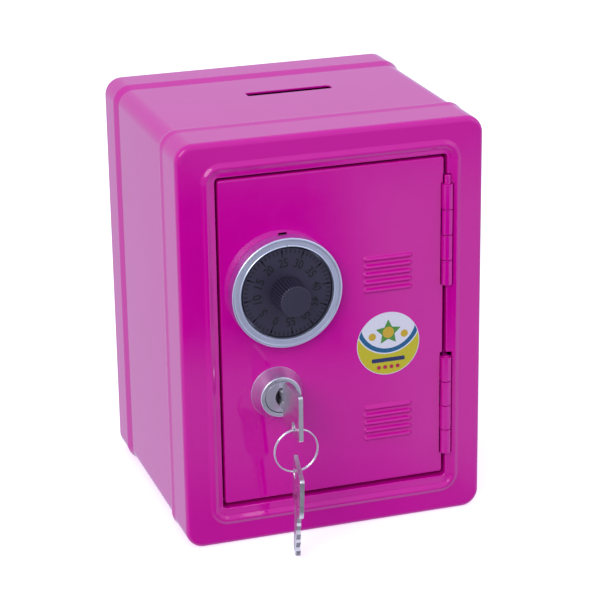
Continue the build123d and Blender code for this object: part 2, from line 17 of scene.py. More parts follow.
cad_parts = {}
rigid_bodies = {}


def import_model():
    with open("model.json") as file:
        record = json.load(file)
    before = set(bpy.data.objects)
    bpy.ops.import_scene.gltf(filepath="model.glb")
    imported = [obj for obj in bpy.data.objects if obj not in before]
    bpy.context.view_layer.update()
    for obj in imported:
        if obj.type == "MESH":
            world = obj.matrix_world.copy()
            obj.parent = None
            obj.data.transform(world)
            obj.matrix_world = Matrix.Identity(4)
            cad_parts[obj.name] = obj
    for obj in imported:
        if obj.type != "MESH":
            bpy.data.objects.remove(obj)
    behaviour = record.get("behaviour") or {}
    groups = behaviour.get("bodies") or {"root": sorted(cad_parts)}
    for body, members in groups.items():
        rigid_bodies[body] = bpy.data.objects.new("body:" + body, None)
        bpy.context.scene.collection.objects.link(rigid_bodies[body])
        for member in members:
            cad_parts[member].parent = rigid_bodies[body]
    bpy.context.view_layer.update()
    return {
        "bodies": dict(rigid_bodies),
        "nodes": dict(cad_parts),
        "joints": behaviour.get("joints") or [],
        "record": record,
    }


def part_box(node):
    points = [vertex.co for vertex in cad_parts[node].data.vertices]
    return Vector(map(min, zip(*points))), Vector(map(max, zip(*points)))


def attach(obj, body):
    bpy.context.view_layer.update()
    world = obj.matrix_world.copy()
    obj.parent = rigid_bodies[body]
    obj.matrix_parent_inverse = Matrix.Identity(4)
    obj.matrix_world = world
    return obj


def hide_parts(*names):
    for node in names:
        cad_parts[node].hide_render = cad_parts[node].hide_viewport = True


MM = 0.001
FULL_TURN = 2 * math.pi
SMOOTH_ANGLE = math.radians(32)
LOG = logging.getLogger("toy_safe")

Point = Tuple[float, float]
Input = Union[float, int, tuple, str, bool, bpy.types.NodeSocket, bpy.types.Material]


# ==== Node and mesh helpers ===================================================================
def linear(code: str) -> Tuple[float, float, float, float]:
    """Turn an sRGB hex colour into the linear colour that a shader takes.

    Args:
        code: Six hex digits, with or without a leading #.

    Returns:
        Linear red, green, blue and an alpha of one.
    """
    digits = code.lstrip("#")
    channels = [int(digits[place:place + 2], 16) / 255 for place in (0, 2, 4)]
    red, green, blue = (value / 12.92 if value <= 0.04045 else ((value + 0.055) / 1.055) ** 2.4
                        for value in channels)
    return red, green, blue, 1.0


def add(tree: bpy.types.NodeTree, kind: str, inputs: Optional[Dict[Union[str, int], Input]] = None,
        **settings: object) -> bpy.types.Node:
    """Add one node with its settings, its input values and its links.

    Args:
        tree: The node tree that gets the node.
        kind: The node's type name.
        inputs: Input name or number to a value, or to the socket that feeds it.
        **settings: Properties of the node itself.

    Returns:
        The new node.
    """
    node = tree.nodes.new(kind)
    for name, value in settings.items():
        setattr(node, name, value)
    for name, value in (inputs or {}).items():
        if isinstance(value, bpy.types.NodeSocket):
            tree.links.new(value, node.inputs[name])
        else:
            node.inputs[name].default_value = value
    return node


def mesh_piece(name: str, mesh: bpy.types.Mesh) -> bpy.types.Object:
    """Link a mesh into the scene as an object at the origin.

    Args:
        name: The piece's name.
        mesh: Its mesh, already in place.

    Returns:
        The new object.
    """
    mesh.name = name
    piece = bpy.data.objects.new(name, mesh)
    bpy.context.scene.collection.objects.link(piece)
    return piece


def from_bmesh(name: str, shape: bmesh.types.BMesh, outward: bool = True) -> bpy.types.Object:
    """Make a piece of a bmesh, with its doubles merged and its faces pointing outwards.

    Args:
        name: The piece's name.
        shape: The finished bmesh, which is freed here.
        outward: Whether to work out the outward side of a closed shape.

    Returns:
        The new object.
    """
    bmesh.ops.remove_doubles(shape, verts=shape.verts, dist=0.0005 * MM)
    if outward:
        bmesh.ops.recalc_face_normals(shape, faces=shape.faces)
    mesh = bpy.data.meshes.new(name)
    shape.to_mesh(mesh)
    shape.free()
    return mesh_piece(name, mesh)


def join_rings(shape: bmesh.types.BMesh, rings: Sequence[Sequence[Vector]], closed: bool) -> None:
    """Skin a row of rings that have the same number of points.

    Args:
        shape: The bmesh that gets the skin.
        rings: The rings, in order along the skin.
        closed: True joins the last ring to the first; False caps both ends.
    """
    rows = [[shape.verts.new(point) for point in ring] for ring in rings]
    pairs = list(zip(rows, rows[1:])) + ([(rows[-1], rows[0])] if closed else [])
    for near, far in pairs:
        count = len(near)
        for place in range(count):
            after = (place + 1) % count
            shape.faces.new((near[place], near[after], far[after], far[place]))
    if not closed:
        shape.faces.new(list(reversed(rows[0])))
        shape.faces.new(rows[-1])


def rounded_ring(half: float, low: float, high: float, corner: float, depth: float,
                 steps: int = 10) -> List[Vector]:
    """Rounded rectangle facing the front.

    Args:
        half: Half its width.
        low: Height of its lower side.
        high: Height of its upper side.
        corner: Corner radius.
        depth: Its place along Y.
        steps: Segments in each corner.

    Returns:
        Its points, counter-clockwise seen from the front.
    """
    centres = ((half - corner, high - corner), (corner - half, high - corner),
               (corner - half, low + corner), (half - corner, low + corner))
    ring = []
    for quarter, (x, z) in enumerate(centres):
        for step in range(steps + 1):
            angle = (quarter + step / steps) * math.pi / 2
            ring.append(Vector((x + corner * math.cos(angle), depth,
                                z + corner * math.sin(angle))))
    return ring


def lathe(shape: bmesh.types.BMesh, outline: Sequence[Point], centre: Vector,
          steps: int = 96, closed: bool = True) -> None:
    """Turn an outline of (radius, depth) points about an axis along Y.

    Args:
        shape: The bmesh that gets the turned body.
        outline: The outline's points; depth is measured from the centre along Y.
        centre: A point on the axis.
        steps: Segments around.
        closed: True for a ring-shaped outline; False caps both ends.
    """
    rings = []
    for radius, depth in outline:
        ring = []
        for step in range(steps):
            angle = FULL_TURN * step / steps
            ring.append(centre + Vector((radius * math.cos(angle), depth,
                                         radius * math.sin(angle))))
        rings.append(ring)
    join_rings(shape, rings, closed)


def bend(start: Point, corner: Point, end: Point, steps: int = 5) -> List[Point]:
    """Round a corner of an outline with a smooth curve.

    Args:
        start: Where the curve leaves the first side.
        corner: The sharp corner it replaces.
        end: Where it meets the second side.
        steps: Segments in the curve.

    Returns:
        The curve's points, with both ends.
    """
    curve = []
    for step in range(steps + 1):
        t = step / steps
        weights = ((1 - t) ** 2, 2 * t * (1 - t), t * t)
        curve.append(tuple(sum(weight * point[axis] for weight, point
                               in zip(weights, (start, corner, end))) for axis in (0, 1)))
    return curve


def rounded_outline(corners: Sequence[Tuple[float, float, float]], steps: int = 5) -> List[Point]:
    """Closed outline whose corners are rounded.

    Args:
        corners: (across, along, radius) of each corner, in order; radius 0 stays sharp.
        steps: Segments in each rounded corner.

    Returns:
        The outline's points.
    """
    outline: List[Point] = []
    count = len(corners)
    for place, (across, along, radius) in enumerate(corners):
        here = Vector((across, along))
        if radius == 0:
            outline.append((across, along))
            continue
        before = Vector(corners[place - 1][:2]) - here
        after = Vector(corners[(place + 1) % count][:2]) - here
        start = here + before.normalized() * radius
        end = here + after.normalized() * radius
        outline += bend(tuple(start), tuple(here), tuple(end), steps)
    return outline


def extruded(shape: bmesh.types.BMesh, outline: Sequence[Point],
             place: Callable[[float, float, float], Vector], low: float, high: float) -> None:
    """Extrude a flat outline between two levels.

    Args:
        shape: The bmesh that gets the prism.
        outline: The outline's points.
        place: Turns (across, along, level) into a point.
        low: First level.
        high: Second level.
    """
    join_rings(shape, [[place(across, along, level) for across, along in outline]
                       for level in (low, high)], closed=False)


def cut(piece: bpy.types.Object, cutters: Iterable[bpy.types.Object]) -> None:
    """Cut other shapes out of a piece for good and delete them.

    Args:
        piece: The piece that is cut.
        cutters: The shapes taken out of it.
    """
    for cutter in cutters:
        tool = piece.modifiers.new("cut", "BOOLEAN")
        tool.operation = "DIFFERENCE"
        tool.solver = "EXACT"
        tool.object = cutter
        settle(piece)
        bpy.data.objects.remove(cutter)


def settle(piece: bpy.types.Object) -> None:
    """Turn what a piece's modifiers make into its plain mesh.

    Args:
        piece: The piece, which keeps no modifier.
    """
    evaluated = piece.evaluated_get(bpy.context.evaluated_depsgraph_get())
    mesh = bpy.data.meshes.new_from_object(evaluated)
    piece.modifiers.clear()
    old = piece.data
    piece.data = mesh
    mesh.name = piece.name
    if old.users == 0:
        bpy.data.meshes.remove(old)


def smooth(piece: bpy.types.Object, soften: float = 0.0) -> None:
    """Shade a piece smoothly, with its sharp edges kept and its flat faces flat.

    Args:
        piece: The piece.
        soften: Width of a small round on its sharp edges; 0 leaves them.
    """
    if soften:
        edge = piece.modifiers.new("edge", "BEVEL")
        edge.width = soften
        edge.segments = 2
        edge.limit_method = "ANGLE"
        edge.angle_limit = SMOOTH_ANGLE
        settle(piece)
    for face in piece.data.polygons:
        face.use_smooth = True
    piece.data.set_sharp_from_angle(angle=SMOOTH_ANGLE)
    weigh = piece.modifiers.new("weigh", "WEIGHTED_NORMAL")
    weigh.keep_sharp = True
    settle(piece)


def box_cutter(low: Vector, high: Vector) -> bpy.types.Object:
    """Plain box used to cut a notch.

    Args:
        low: Its lowest corner.
        high: Its highest corner.

    Returns:
        The box.
    """
    shape = bmesh.new()
    bmesh.ops.create_cube(shape, size=1)
    for vertex in shape.verts:
        for axis in range(3):
            middle = (low[axis] + high[axis]) / 2
            vertex.co[axis] = middle + vertex.co[axis] * (high[axis] - low[axis])
    return from_bmesh("cutter", shape)


def round_cutter(centre: Vector, radius: float, length: float) -> bpy.types.Object:
    """Plain cylinder along Y used to cut a hole.

    Args:
        centre: Its middle.
        radius: Its radius.
        length: Its length.

    Returns:
        The cylinder.
    """
    shape = bmesh.new()
    lathe(shape, [(radius, -length / 2), (radius, length / 2)], centre, steps=64, closed=False)
    return from_bmesh("cutter", shape)


def middle(node: str) -> Vector:
    """Middle of a node's box.

    Args:
        node: The node's name.

    Returns:
        The middle, in metres.
    """
    low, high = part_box(node)
    return (low + high) / 2


def dress(piece: bpy.types.Object, body: str, finish: bpy.types.Material,
          replaced: Sequence[str] = ()) -> bpy.types.Object:
    """Give a piece its finish, its body and the nodes that it stands for.

    Args:
        piece: The finished piece.
        body: The body that it moves with.
        finish: Its material; None keeps the ones it has.
        replaced: Names of the nodes that it stands for.

    Returns:
        The piece.
    """
    if finish is not None:
        piece.data.materials.clear()
        piece.data.materials.append(finish)
    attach(piece, body)
    if replaced:
        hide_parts(*replaced)
    LOG.info("piece %s: %d faces on %s", piece.name, len(piece.data.polygons), body)
    return piece


# ==== Choices =================================================================================
class Body(Enum):
    """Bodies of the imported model."""

    CASE = "case"
    DOOR = "door"
    DIAL = "dial"
    LOCK_PLUG = "lock_plug"
    KEY = "key"
    KEY_RING = "key_ring"
    SPARE_KEY = "spare_key"


class Slot(Enum):
    """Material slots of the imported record."""

    PAINT = "painted_steel"
    CHROME = "chrome"
    BLACK_PLASTIC = "black_plastic"
    KEY_STEEL = "key_steel"
    LABEL = "label"


# ==== Finishes ================================================================================
def per_metre(size_mm: float) -> float:
    """Pattern scale for a feature of a real size.

    Args:
        size_mm: Size of one feature, in millimetres.

    Returns:
        Features in a metre of Object coordinates.
    """
    return 1 / (size_mm * MM)


def surface(name: str) -> Tuple[bpy.types.NodeTree, bpy.types.Node, bpy.types.Node]:
    """Start a material with its shader and Object coordinates.

    Args:
        name: The finish's name.

    Returns:
        The node tree, its Principled shader and its Texture Coordinate node.
    """
    material = bpy.data.materials.new(name)
    material.use_nodes = True
    tree = material.node_tree
    tree.nodes.clear()
    shader = add(tree, "ShaderNodeBsdfPrincipled")
    add(tree, "ShaderNodeOutputMaterial", {"Surface": shader.outputs["BSDF"]})
    return tree, shader, add(tree, "ShaderNodeTexCoord")


def material_of(tree: bpy.types.NodeTree) -> bpy.types.Material:
    """Material that owns a node tree."""
    return next(entry for entry in bpy.data.materials if entry.node_tree == tree)


def speckle(tree: bpy.types.NodeTree, vector: bpy.types.NodeSocket, size_mm: float,
            detail: float = 2.0, roughness: float = 0.5) -> bpy.types.NodeSocket:
    """Noise pattern whose blotches have a real size.

    Args:
        tree: The material's node tree.
        vector: Coordinates that the noise reads.
        size_mm: Size of a blotch.
        detail: Finer layers in the noise.
        roughness: Weight of the finer layers.

    Returns:
        The noise factor.
    """
    return add(tree, "ShaderNodeTexNoise", {"Vector": vector, "Scale": per_metre(size_mm),
                                            "Detail": detail, "Roughness": roughness}).outputs[0]


def spread(tree: bpy.types.NodeTree, value: bpy.types.NodeSocket,
           source: Point, target: Point) -> bpy.types.NodeSocket:
    """Map a value from one range onto another, clamped.

    Args:
        tree: The material's node tree.
        value: The value.
        source: The range that it has.
        target: The range that it gets.

    Returns:
        The mapped value.
    """
    return add(tree, "ShaderNodeMapRange",
               {"Value": value, "From Min": source[0], "From Max": source[1],
                "To Min": target[0], "To Max": target[1]}).outputs[0]


def blend_colours(tree: bpy.types.NodeTree, share: bpy.types.NodeSocket,
                  first: str, second: str) -> bpy.types.NodeSocket:
    """Blend two hex colours by a value.

    Args:
        tree: The material's node tree.
        share: 0 gives the first colour, 1 the second.
        first: First sRGB hex colour.
        second: Second sRGB hex colour.

    Returns:
        The blended colour.
    """
    ramp = add(tree, "ShaderNodeValToRGB", {0: share})
    ramp.color_ramp.elements[0].color = linear(first)
    ramp.color_ramp.elements[1].color = linear(second)
    return ramp.outputs["Color"]


@dataclass(frozen=True)
class StovedEnamel:
    """Gloss enamel, sprayed and stoved on steel: a clear depth with slight orange peel."""

    deep: str = "CF0098"
    light: str = "D6049F"
    ior: float = 1.5
    roughness: Point = (0.05, 0.08)
    cloud_mm: float = 24.0       # slow change in film thickness
    peel_mm: float = 2.2         # one dimple of the orange peel
    peel_height_mm: float = 0.0015
    grain_mm: float = 0.5        # dust nibs, drawn coarser than they are so that they show
    grain_height_mm: float = 0.0004

    def build(self, name: str = "stoved_magenta_enamel") -> bpy.types.Material:
        """Build the enamel.

        Args:
            name: The material's name.

        Returns:
            The material.
        """
        tree, shader, place = surface(name)
        here = place.outputs["Object"]
        cloud = speckle(tree, here, self.cloud_mm)
        tree.links.new(blend_colours(tree, cloud, self.deep, self.light),
                       shader.inputs["Base Color"])
        tree.links.new(spread(tree, speckle(tree, here, self.peel_mm * 3), (0.3, 0.7),
                              self.roughness), shader.inputs["Roughness"])
        shader.inputs["IOR"].default_value = self.ior
        peel = add(tree, "ShaderNodeBump",
                   {"Height": speckle(tree, here, self.peel_mm, 1.0), "Strength": 1.0,
                    "Distance": self.peel_height_mm * MM})
        grain = add(tree, "ShaderNodeBump",
                    {"Height": speckle(tree, here, self.grain_mm, 1.0), "Strength": 1.0,
                     "Distance": self.grain_height_mm * MM, "Normal": peel.outputs[0]})
        tree.links.new(grain.outputs[0], shader.inputs["Normal"])
        return material_of(tree)


@dataclass(frozen=True)
class PlatedMetal:
    """Plated metal: base colour in two tones, roughness in patches and fine handling marks."""

    name: str
    bright: str
    dull: str
    roughness: Point
    patch_mm: float = 5.0
    mark_mm: float = 0.5
    mark_stretch: Tuple[float, float, float] = (1.0, 1.0, 1.0)
    mark_height_mm: float = 0.001

    def build(self) -> bpy.types.Material:
        """Build the plated metal.

        Returns:
            The material.
        """
        tree, shader, place = surface(self.name)
        here = place.outputs["Object"]
        patch = speckle(tree, here, self.patch_mm, 4.0)
        tree.links.new(blend_colours(tree, patch, self.dull, self.bright),
                       shader.inputs["Base Color"])
        shader.inputs["Metallic"].default_value = 1.0
        tree.links.new(spread(tree, patch, (0.3, 0.7), self.roughness),
                       shader.inputs["Roughness"])
        stretched = add(tree, "ShaderNodeMapping", {"Vector": here, "Scale": self.mark_stretch})
        marks = add(tree, "ShaderNodeBump",
                    {"Height": speckle(tree, stretched.outputs[0], self.mark_mm), "Strength": 1.0,
                     "Distance": self.mark_height_mm * MM})
        tree.links.new(marks.outputs[0], shader.inputs["Normal"])
        return material_of(tree)


@dataclass(frozen=True)
class MouldedPlastic:
    """Injection-moulded plastic: an even body colour with the mould's fine spark texture."""

    name: str
    deep: str
    light: str
    roughness: Point
    ior: float = 1.5
    cloud_mm: float = 14.0
    texture_mm: float = 0.35
    texture_height_mm: float = 0.006
    subsurface: float = 0.0
    subsurface_mm: float = 0.8

    def build(self) -> bpy.types.Material:
        """Build the moulded plastic.

        Returns:
            The material.
        """
        tree, shader, place = surface(self.name)
        here = place.outputs["Object"]
        cloud = speckle(tree, here, self.cloud_mm)
        tree.links.new(blend_colours(tree, cloud, self.deep, self.light),
                       shader.inputs["Base Color"])
        texture = speckle(tree, here, self.texture_mm)
        tree.links.new(spread(tree, texture, (0.3, 0.7), self.roughness),
                       shader.inputs["Roughness"])
        shader.inputs["IOR"].default_value = self.ior
        shader.inputs["Subsurface Weight"].default_value = self.subsurface
        shader.inputs["Subsurface Scale"].default_value = self.subsurface_mm * MM
        spark = add(tree, "ShaderNodeBump", {"Height": texture, "Strength": 1.0,
                                             "Distance": self.texture_height_mm * MM})
        tree.links.new(spark.outputs[0], shader.inputs["Normal"])
        return material_of(tree)


@dataclass(frozen=True)
class PrintedVinyl:
    """Screen-printed gloss vinyl: flat inks whose coverage varies a little."""

    name: str
    ink: str
    thin_ink: str
    roughness: Point = (0.22, 0.32)
    coverage_mm: float = 0.6

    def build(self) -> bpy.types.Material:
        """Build the ink.

        Returns:
            The material.
        """
        tree, shader, place = surface(self.name)
        coverage = speckle(tree, place.outputs["Object"], self.coverage_mm)
        tree.links.new(blend_colours(tree, coverage, self.ink, self.thin_ink),
                       shader.inputs["Base Color"])
        tree.links.new(spread(tree, coverage, (0.3, 0.7), self.roughness),
                       shader.inputs["Roughness"])
        return material_of(tree)


@dataclass
class Finishes:
    """Every material of the safe, built once."""

    enamel: bpy.types.Material = field(init=False)
    bezel_chrome: bpy.types.Material = field(init=False)
    lock_chrome: bpy.types.Material = field(init=False)
    dial_abs: bpy.types.Material = field(init=False)
    dial_ink: bpy.types.Material = field(init=False)
    nylon: bpy.types.Material = field(init=False)
    zinc: bpy.types.Material = field(init=False)
    brass: bpy.types.Material = field(init=False)
    nickel: bpy.types.Material = field(init=False)
    ring_wire: bpy.types.Material = field(init=False)
    keyway_grease: bpy.types.Material = field(init=False)

    def __post_init__(self) -> None:
        """Build the materials in a fixed order."""
        self.enamel = StovedEnamel().build()
        # Plated on moulded plastic: bright, with a satin haze that blurs what it mirrors.
        self.bezel_chrome = PlatedMetal("satin_chrome_on_abs", "E8ECF8", "DADFF0",
                                        (0.30, 0.38), mark_height_mm=0.0003).build()
        # Zinc die casting under chrome: bright, softened by handling.
        self.lock_chrome = PlatedMetal("bright_chrome_on_zinc", "F0EFF4", "DEDDE6",
                                       (0.26, 0.34), mark_mm=0.9, mark_height_mm=0.0004).build()
        # Carbon-black ABS from a spark-eroded mould: dark satin with a bluish sheen.
        self.dial_abs = MouldedPlastic("spark_textured_abs", "2E293A", "373246",
                                       (0.34, 0.46)).build()
        self.dial_ink = MouldedPlastic("pad_printed_black_ink", "0B0A10", "14121A",
                                       (0.5, 0.6)).build()
        self.nylon = MouldedPlastic("natural_nylon", "DAD5C4", "E4E0D2", (0.4, 0.5),
                                    ior=1.53, subsurface=0.2).build()
        self.zinc = PlatedMetal("bright_zinc_plate", "B9BCC4", "9DA1AB", (0.28, 0.45),
                                patch_mm=2.0).build()
        self.brass = PlatedMetal("hard_rolled_brass", "D9B365", "C49A4C", (0.22, 0.35),
                                 mark_stretch=(1.0, 1.0, 0.1)).build()
        # Nickel over blanked steel: soft, slightly warm, with scuffs from the key ring.
        self.nickel = PlatedMetal("worn_nickel_plate", "F0ECEE", "DAD5D8", (0.26, 0.38),
                                  patch_mm=3.0, mark_mm=0.4, mark_height_mm=0.0004).build()
        self.ring_wire = PlatedMetal("bright_spring_wire", "F2EFF2", "DEDBE0", (0.18, 0.28),
                                     patch_mm=2.0, mark_height_mm=0.0003).build()
        # Painted shade for the keyway and the deep part of the recess: a dark, dull plastic that
        # stands in for the shadow inside them.
        self.keyway_grease = MouldedPlastic("graphite_grease", "1B181D", "29252C",
                                            (0.5, 0.65)).build()


# ==== Case ====================================================================================
@dataclass
class Sheet:
    """Steel sheet and outline that the case's pressings share."""

    thickness: float = 0.8 * MM
    half: float = 61.0 * MM
    height: float = 163.0 * MM
    corner: float = 7.0 * MM

    def ring(self, inset: float, depth: float, steps: int = 14) -> List[Vector]:
        """Outline of the case, drawn in by an inset.

        Args:
            inset: How far inside the case's outline.
            depth: Its place along Y.
            steps: Segments in each corner.

        Returns:
            The ring's points.
        """
        return rounded_ring(self.half - inset, inset, self.height - inset,
                            max(self.corner - inset, 0.4 * MM), depth, steps)


@dataclass
class CoinSlot:
    """Slot punched through the top."""

    length: float = 35.2 * MM
    width: float = 5.0 * MM
    corner: float = 1.0 * MM
    middle_x: float = 3.9 * MM
    middle_y: float = 28.85 * MM

    def cutter(self, low: float, high: float) -> bpy.types.Object:
        """Prism that cuts the slot.

        Args:
            low: Its lower end.
            high: Its upper end.

        Returns:
            The prism.
        """
        half_x, half_y = self.length / 2, self.width / 2
        outline = rounded_outline([(-half_x, -half_y, self.corner), (half_x, -half_y, self.corner),
                                   (half_x, half_y, self.corner), (-half_x, half_y, self.corner)])
        shape = bmesh.new()
        extruded(shape, outline, lambda x, y, z: Vector((self.middle_x + x, self.middle_y + y, z)),
                 low, high)
        return from_bmesh("cutter", shape)


@dataclass
class HingeNotches:
    """Notches that the frame and the door have beside each hinge."""

    tops: Tuple[float, float] = (137.4 * MM, 66.4 * MM)
    axis_x: float = 46.2 * MM
    half_width: float = 2.45 * MM
    above: Tuple[float, float] = (0.3 * MM, 1.9 * MM)
    pin_half_width: float = 1.45 * MM
    pin_above: float = 3.9 * MM      # only the upper pin stands up
    below: float = 40.95 * MM
    depth: float = 3.5 * MM

    def cutters(self, front: float, side: int) -> List[bpy.types.Object]:
        """Boxes that cut the notches on one side of the hinge axis.

        Args:
            front: Depth of the frame's face.
            side: 1 for the frame's side, -1 for the door's.

        Returns:
            A box for each hinge and one for the pin that stands up.
        """
        boxes = []
        spans = [(top - self.below, top + above, self.half_width)
                 for top, above in zip(self.tops, self.above)]
        spans.append((self.tops[0] - MM, self.tops[0] + self.pin_above, self.pin_half_width))
        for low, high, half_width in spans:
            near, far = sorted((self.axis_x - side * 1.2 * MM, self.axis_x + side * half_width))
            boxes.append(box_cutter(Vector((near, front - self.depth, low)),
                                    Vector((far, front + self.depth, high))))
        return boxes


@dataclass
class Case:
    """Wrapped body between a front frame and a rear cover, all pressed from one sheet."""

    finishes: Finishes
    sheet: Sheet = field(default_factory=Sheet)
    slot: CoinSlot = field(default_factory=CoinSlot)
    notches: HingeNotches = field(default_factory=HingeNotches)
    face_round: float = 2.6 * MM
    hem_crest: float = 0.36 * MM     # the rolled hems stand this far above the skirts
    front_hem: Tuple[float, ...] = (17.2 * MM, 21.4 * MM, 25.2 * MM)    # start, crest, foot
    rear_hem: Tuple[float, ...] = (14.6 * MM, 16.4 * MM, 20.9 * MM)
    hem_steps: int = 10
    seam: Point = (0.3 * MM, 0.3 * MM)       # width and depth of the rear hem's seam
    opening_half: float = 46.2 * MM
    opening_low: float = 15.4 * MM
    opening_high: float = 149.2 * MM
    opening_corner: float = 1.6 * MM
    opening_round: float = 0.7 * MM
    flange_depth: float = 7.9 * MM
    stop_lip: float = 3.0 * MM
    bead_half: float = 47.6 * MM
    bead_low: float = 12.7 * MM
    bead_high: float = 150.9 * MM
    bead_corner: float = 3.6 * MM
    bead_width: float = 4.4 * MM
    bead_height: float = 1.0 * MM
    bead_steps: int = 14

    def __post_init__(self) -> None:
        """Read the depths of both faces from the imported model."""
        self.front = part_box("front_frame")[0].y + self.bead_height
        self.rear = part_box("rear_cover")[1].y
        self.wrap_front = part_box("body_wrap")[0].y
        self.wrap_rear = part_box("body_wrap")[1].y

    def build(self) -> None:
        """Build the three pressings and dress them."""
        self.build_wrap()
        self.build_frame()
        self.build_cover()

    def build_wrap(self) -> None:
        """Body sheet, wrapped into a tube, with the coin slot punched through its top."""
        wall = self.sheet.thickness
        shape = bmesh.new()
        join_rings(shape, [self.sheet.ring(wall, self.wrap_front),
                           self.sheet.ring(wall, self.wrap_rear),
                           self.sheet.ring(2 * wall, self.wrap_rear),
                           self.sheet.ring(2 * wall, self.wrap_front)], closed=True)
        wrap = from_bmesh("case_body_sheet", shape)
        cut(wrap, [self.slot.cutter(self.sheet.height - 3 * wall, self.sheet.height + wall)])
        smooth(wrap, 0.18 * MM)
        dress(wrap, Body.CASE.value, self.finishes.enamel, ["body_wrap"])

    def front_bead(self) -> List[Point]:
        """Front hem as (inset, distance from the face): a slow rise and a quicker fall."""
        start, crest, foot = self.front_hem
        sunk = 0.92 * self.sheet.thickness
        profile = []
        for near, far, low, high in ((foot, crest, sunk, -self.hem_crest),
                                     (crest, start, -self.hem_crest, 0.0)):
            for step in range(self.hem_steps):
                share = step / self.hem_steps
                ease = (1 - math.cos(math.pi * share)) / 2
                profile.append((low + (high - low) * ease, near + (far - near) * share))
        return profile + [(0.0, start)]

    def rear_bead(self) -> List[Point]:
        """Rear hem as (inset, distance from the face): a straight flank, a crest and a seam."""
        start, crest, foot = self.rear_hem
        width, depth = self.seam
        seam = (start + crest - width) / 2
        profile = [(0.97 * self.sheet.thickness, foot)]
        profile += bend((0.0, crest + 1.4 * MM), (-self.hem_crest, crest),
                        (-0.7 * self.hem_crest, crest - 0.5 * MM), 5)
        return profile + [(0.0, seam + width / 2 + 0.02 * MM), (depth, seam + width / 2),
                          (depth, seam - width / 2), (0.0, seam - width / 2 - 0.02 * MM),
                          (0.0, start)]

    def skirt(self, face: float, inward: int, bead: Sequence[Point]) -> List[List[Vector]]:
        """Outer side of a pan from its hem to the edge of its face.

        Args:
            face: Depth of the pan's face.
            inward: 1 where the skirt runs towards +Y, -1 where it runs towards -Y.
            bead: The hem as (inset, distance from the face), from its foot.

        Returns:
            Rings, from the hem's foot to the edge of the face.
        """
        profile = list(bead) + bend((0.0, self.face_round), (0.0, 0.0),
                                    (self.face_round, 0.0), 8)
        return [self.sheet.ring(inset, face + inward * run) for inset, run in profile]

    def inner_skirt(self, face: float, inward: int, foot: float) -> List[List[Vector]]:
        """Inner side of a pan's skirt.

        Args:
            face: Depth of the pan's face.
            inward: 1 where the skirt runs towards +Y, -1 where it runs towards -Y.
            foot: Distance from the face to the hem's foot.

        Returns:
            Rings, from the inside of the face to the hem's foot.
        """
        wall = self.sheet.thickness
        profile = bend((self.face_round, wall), (wall * 0.99, wall),
                       (wall * 0.99, self.face_round), 5)
        profile.append((wall * 0.99, foot))
        return [self.sheet.ring(inset, face + inward * run) for inset, run in profile]

    def opening_ring(self, outset: float, depth: float) -> List[Vector]:
        """Outline of the door opening, let out by an outset.

        Args:
            outset: How far outside the opening.
            depth: Its place along Y.

        Returns:
            The ring's points.
        """
        return rounded_ring(self.opening_half + outset, self.opening_low - outset,
                            self.opening_high + outset,
                            max(self.opening_corner + outset, 0.4 * MM), depth, 14)

    def build_frame(self) -> None:
        """Front pan: skirt, face, raised bead, return flange and stop lip."""
        face, wall = self.front, self.sheet.thickness
        rings = self.skirt(face, 1, self.front_bead())
        for step in range(self.bead_steps + 1):
            share = step / self.bead_steps
            out = self.bead_width * (1 - share)
            rise = self.bead_height * (1 - math.cos(FULL_TURN * share)) / 2
            rings.append(rounded_ring(self.bead_half + out, self.bead_low - out,
                                      self.bead_high + out, self.bead_corner + out,
                                      face - rise, 14))
        flange = self.flange_depth
        profile = bend((self.opening_round, 0.0), (0.0, 0.0), (0.0, self.opening_round), 4)
        profile += bend((0.0, flange - 1.8 * MM), (0.0, flange - wall),
                        (-1.0 * MM, flange - wall), 4)
        profile += [(-self.stop_lip, flange - wall), (-self.stop_lip, flange)]
        profile += bend((-0.8 * MM, flange), (wall, flange), (wall, flange - 1.8 * MM), 4)
        profile += bend((wall, 1.8 * MM), (wall, wall), (1.8 * MM, wall), 4)
        rings += [self.opening_ring(outset, face + run) for outset, run in profile]
        rings += self.inner_skirt(face, 1, self.front_hem[-1])
        shape = bmesh.new()
        join_rings(shape, rings, closed=True)
        frame = from_bmesh("case_front_frame", shape)
        cut(frame, self.notches.cutters(face, 1))
        smooth(frame)
        dress(frame, Body.CASE.value, self.finishes.enamel, ["front_frame"])

    def build_cover(self) -> None:
        """Rear pan: skirt and a plain back."""
        face = self.rear
        outer = self.skirt(face, -1, self.rear_bead())
        inner = self.inner_skirt(face, -1, self.rear_hem[-1])
        shape = bmesh.new()
        join_rings(shape, inner + outer, closed=False)
        cover = from_bmesh("case_rear_cover", shape)
        smooth(cover)
        dress(cover, Body.CASE.value, self.finishes.enamel, ["rear_cover"])


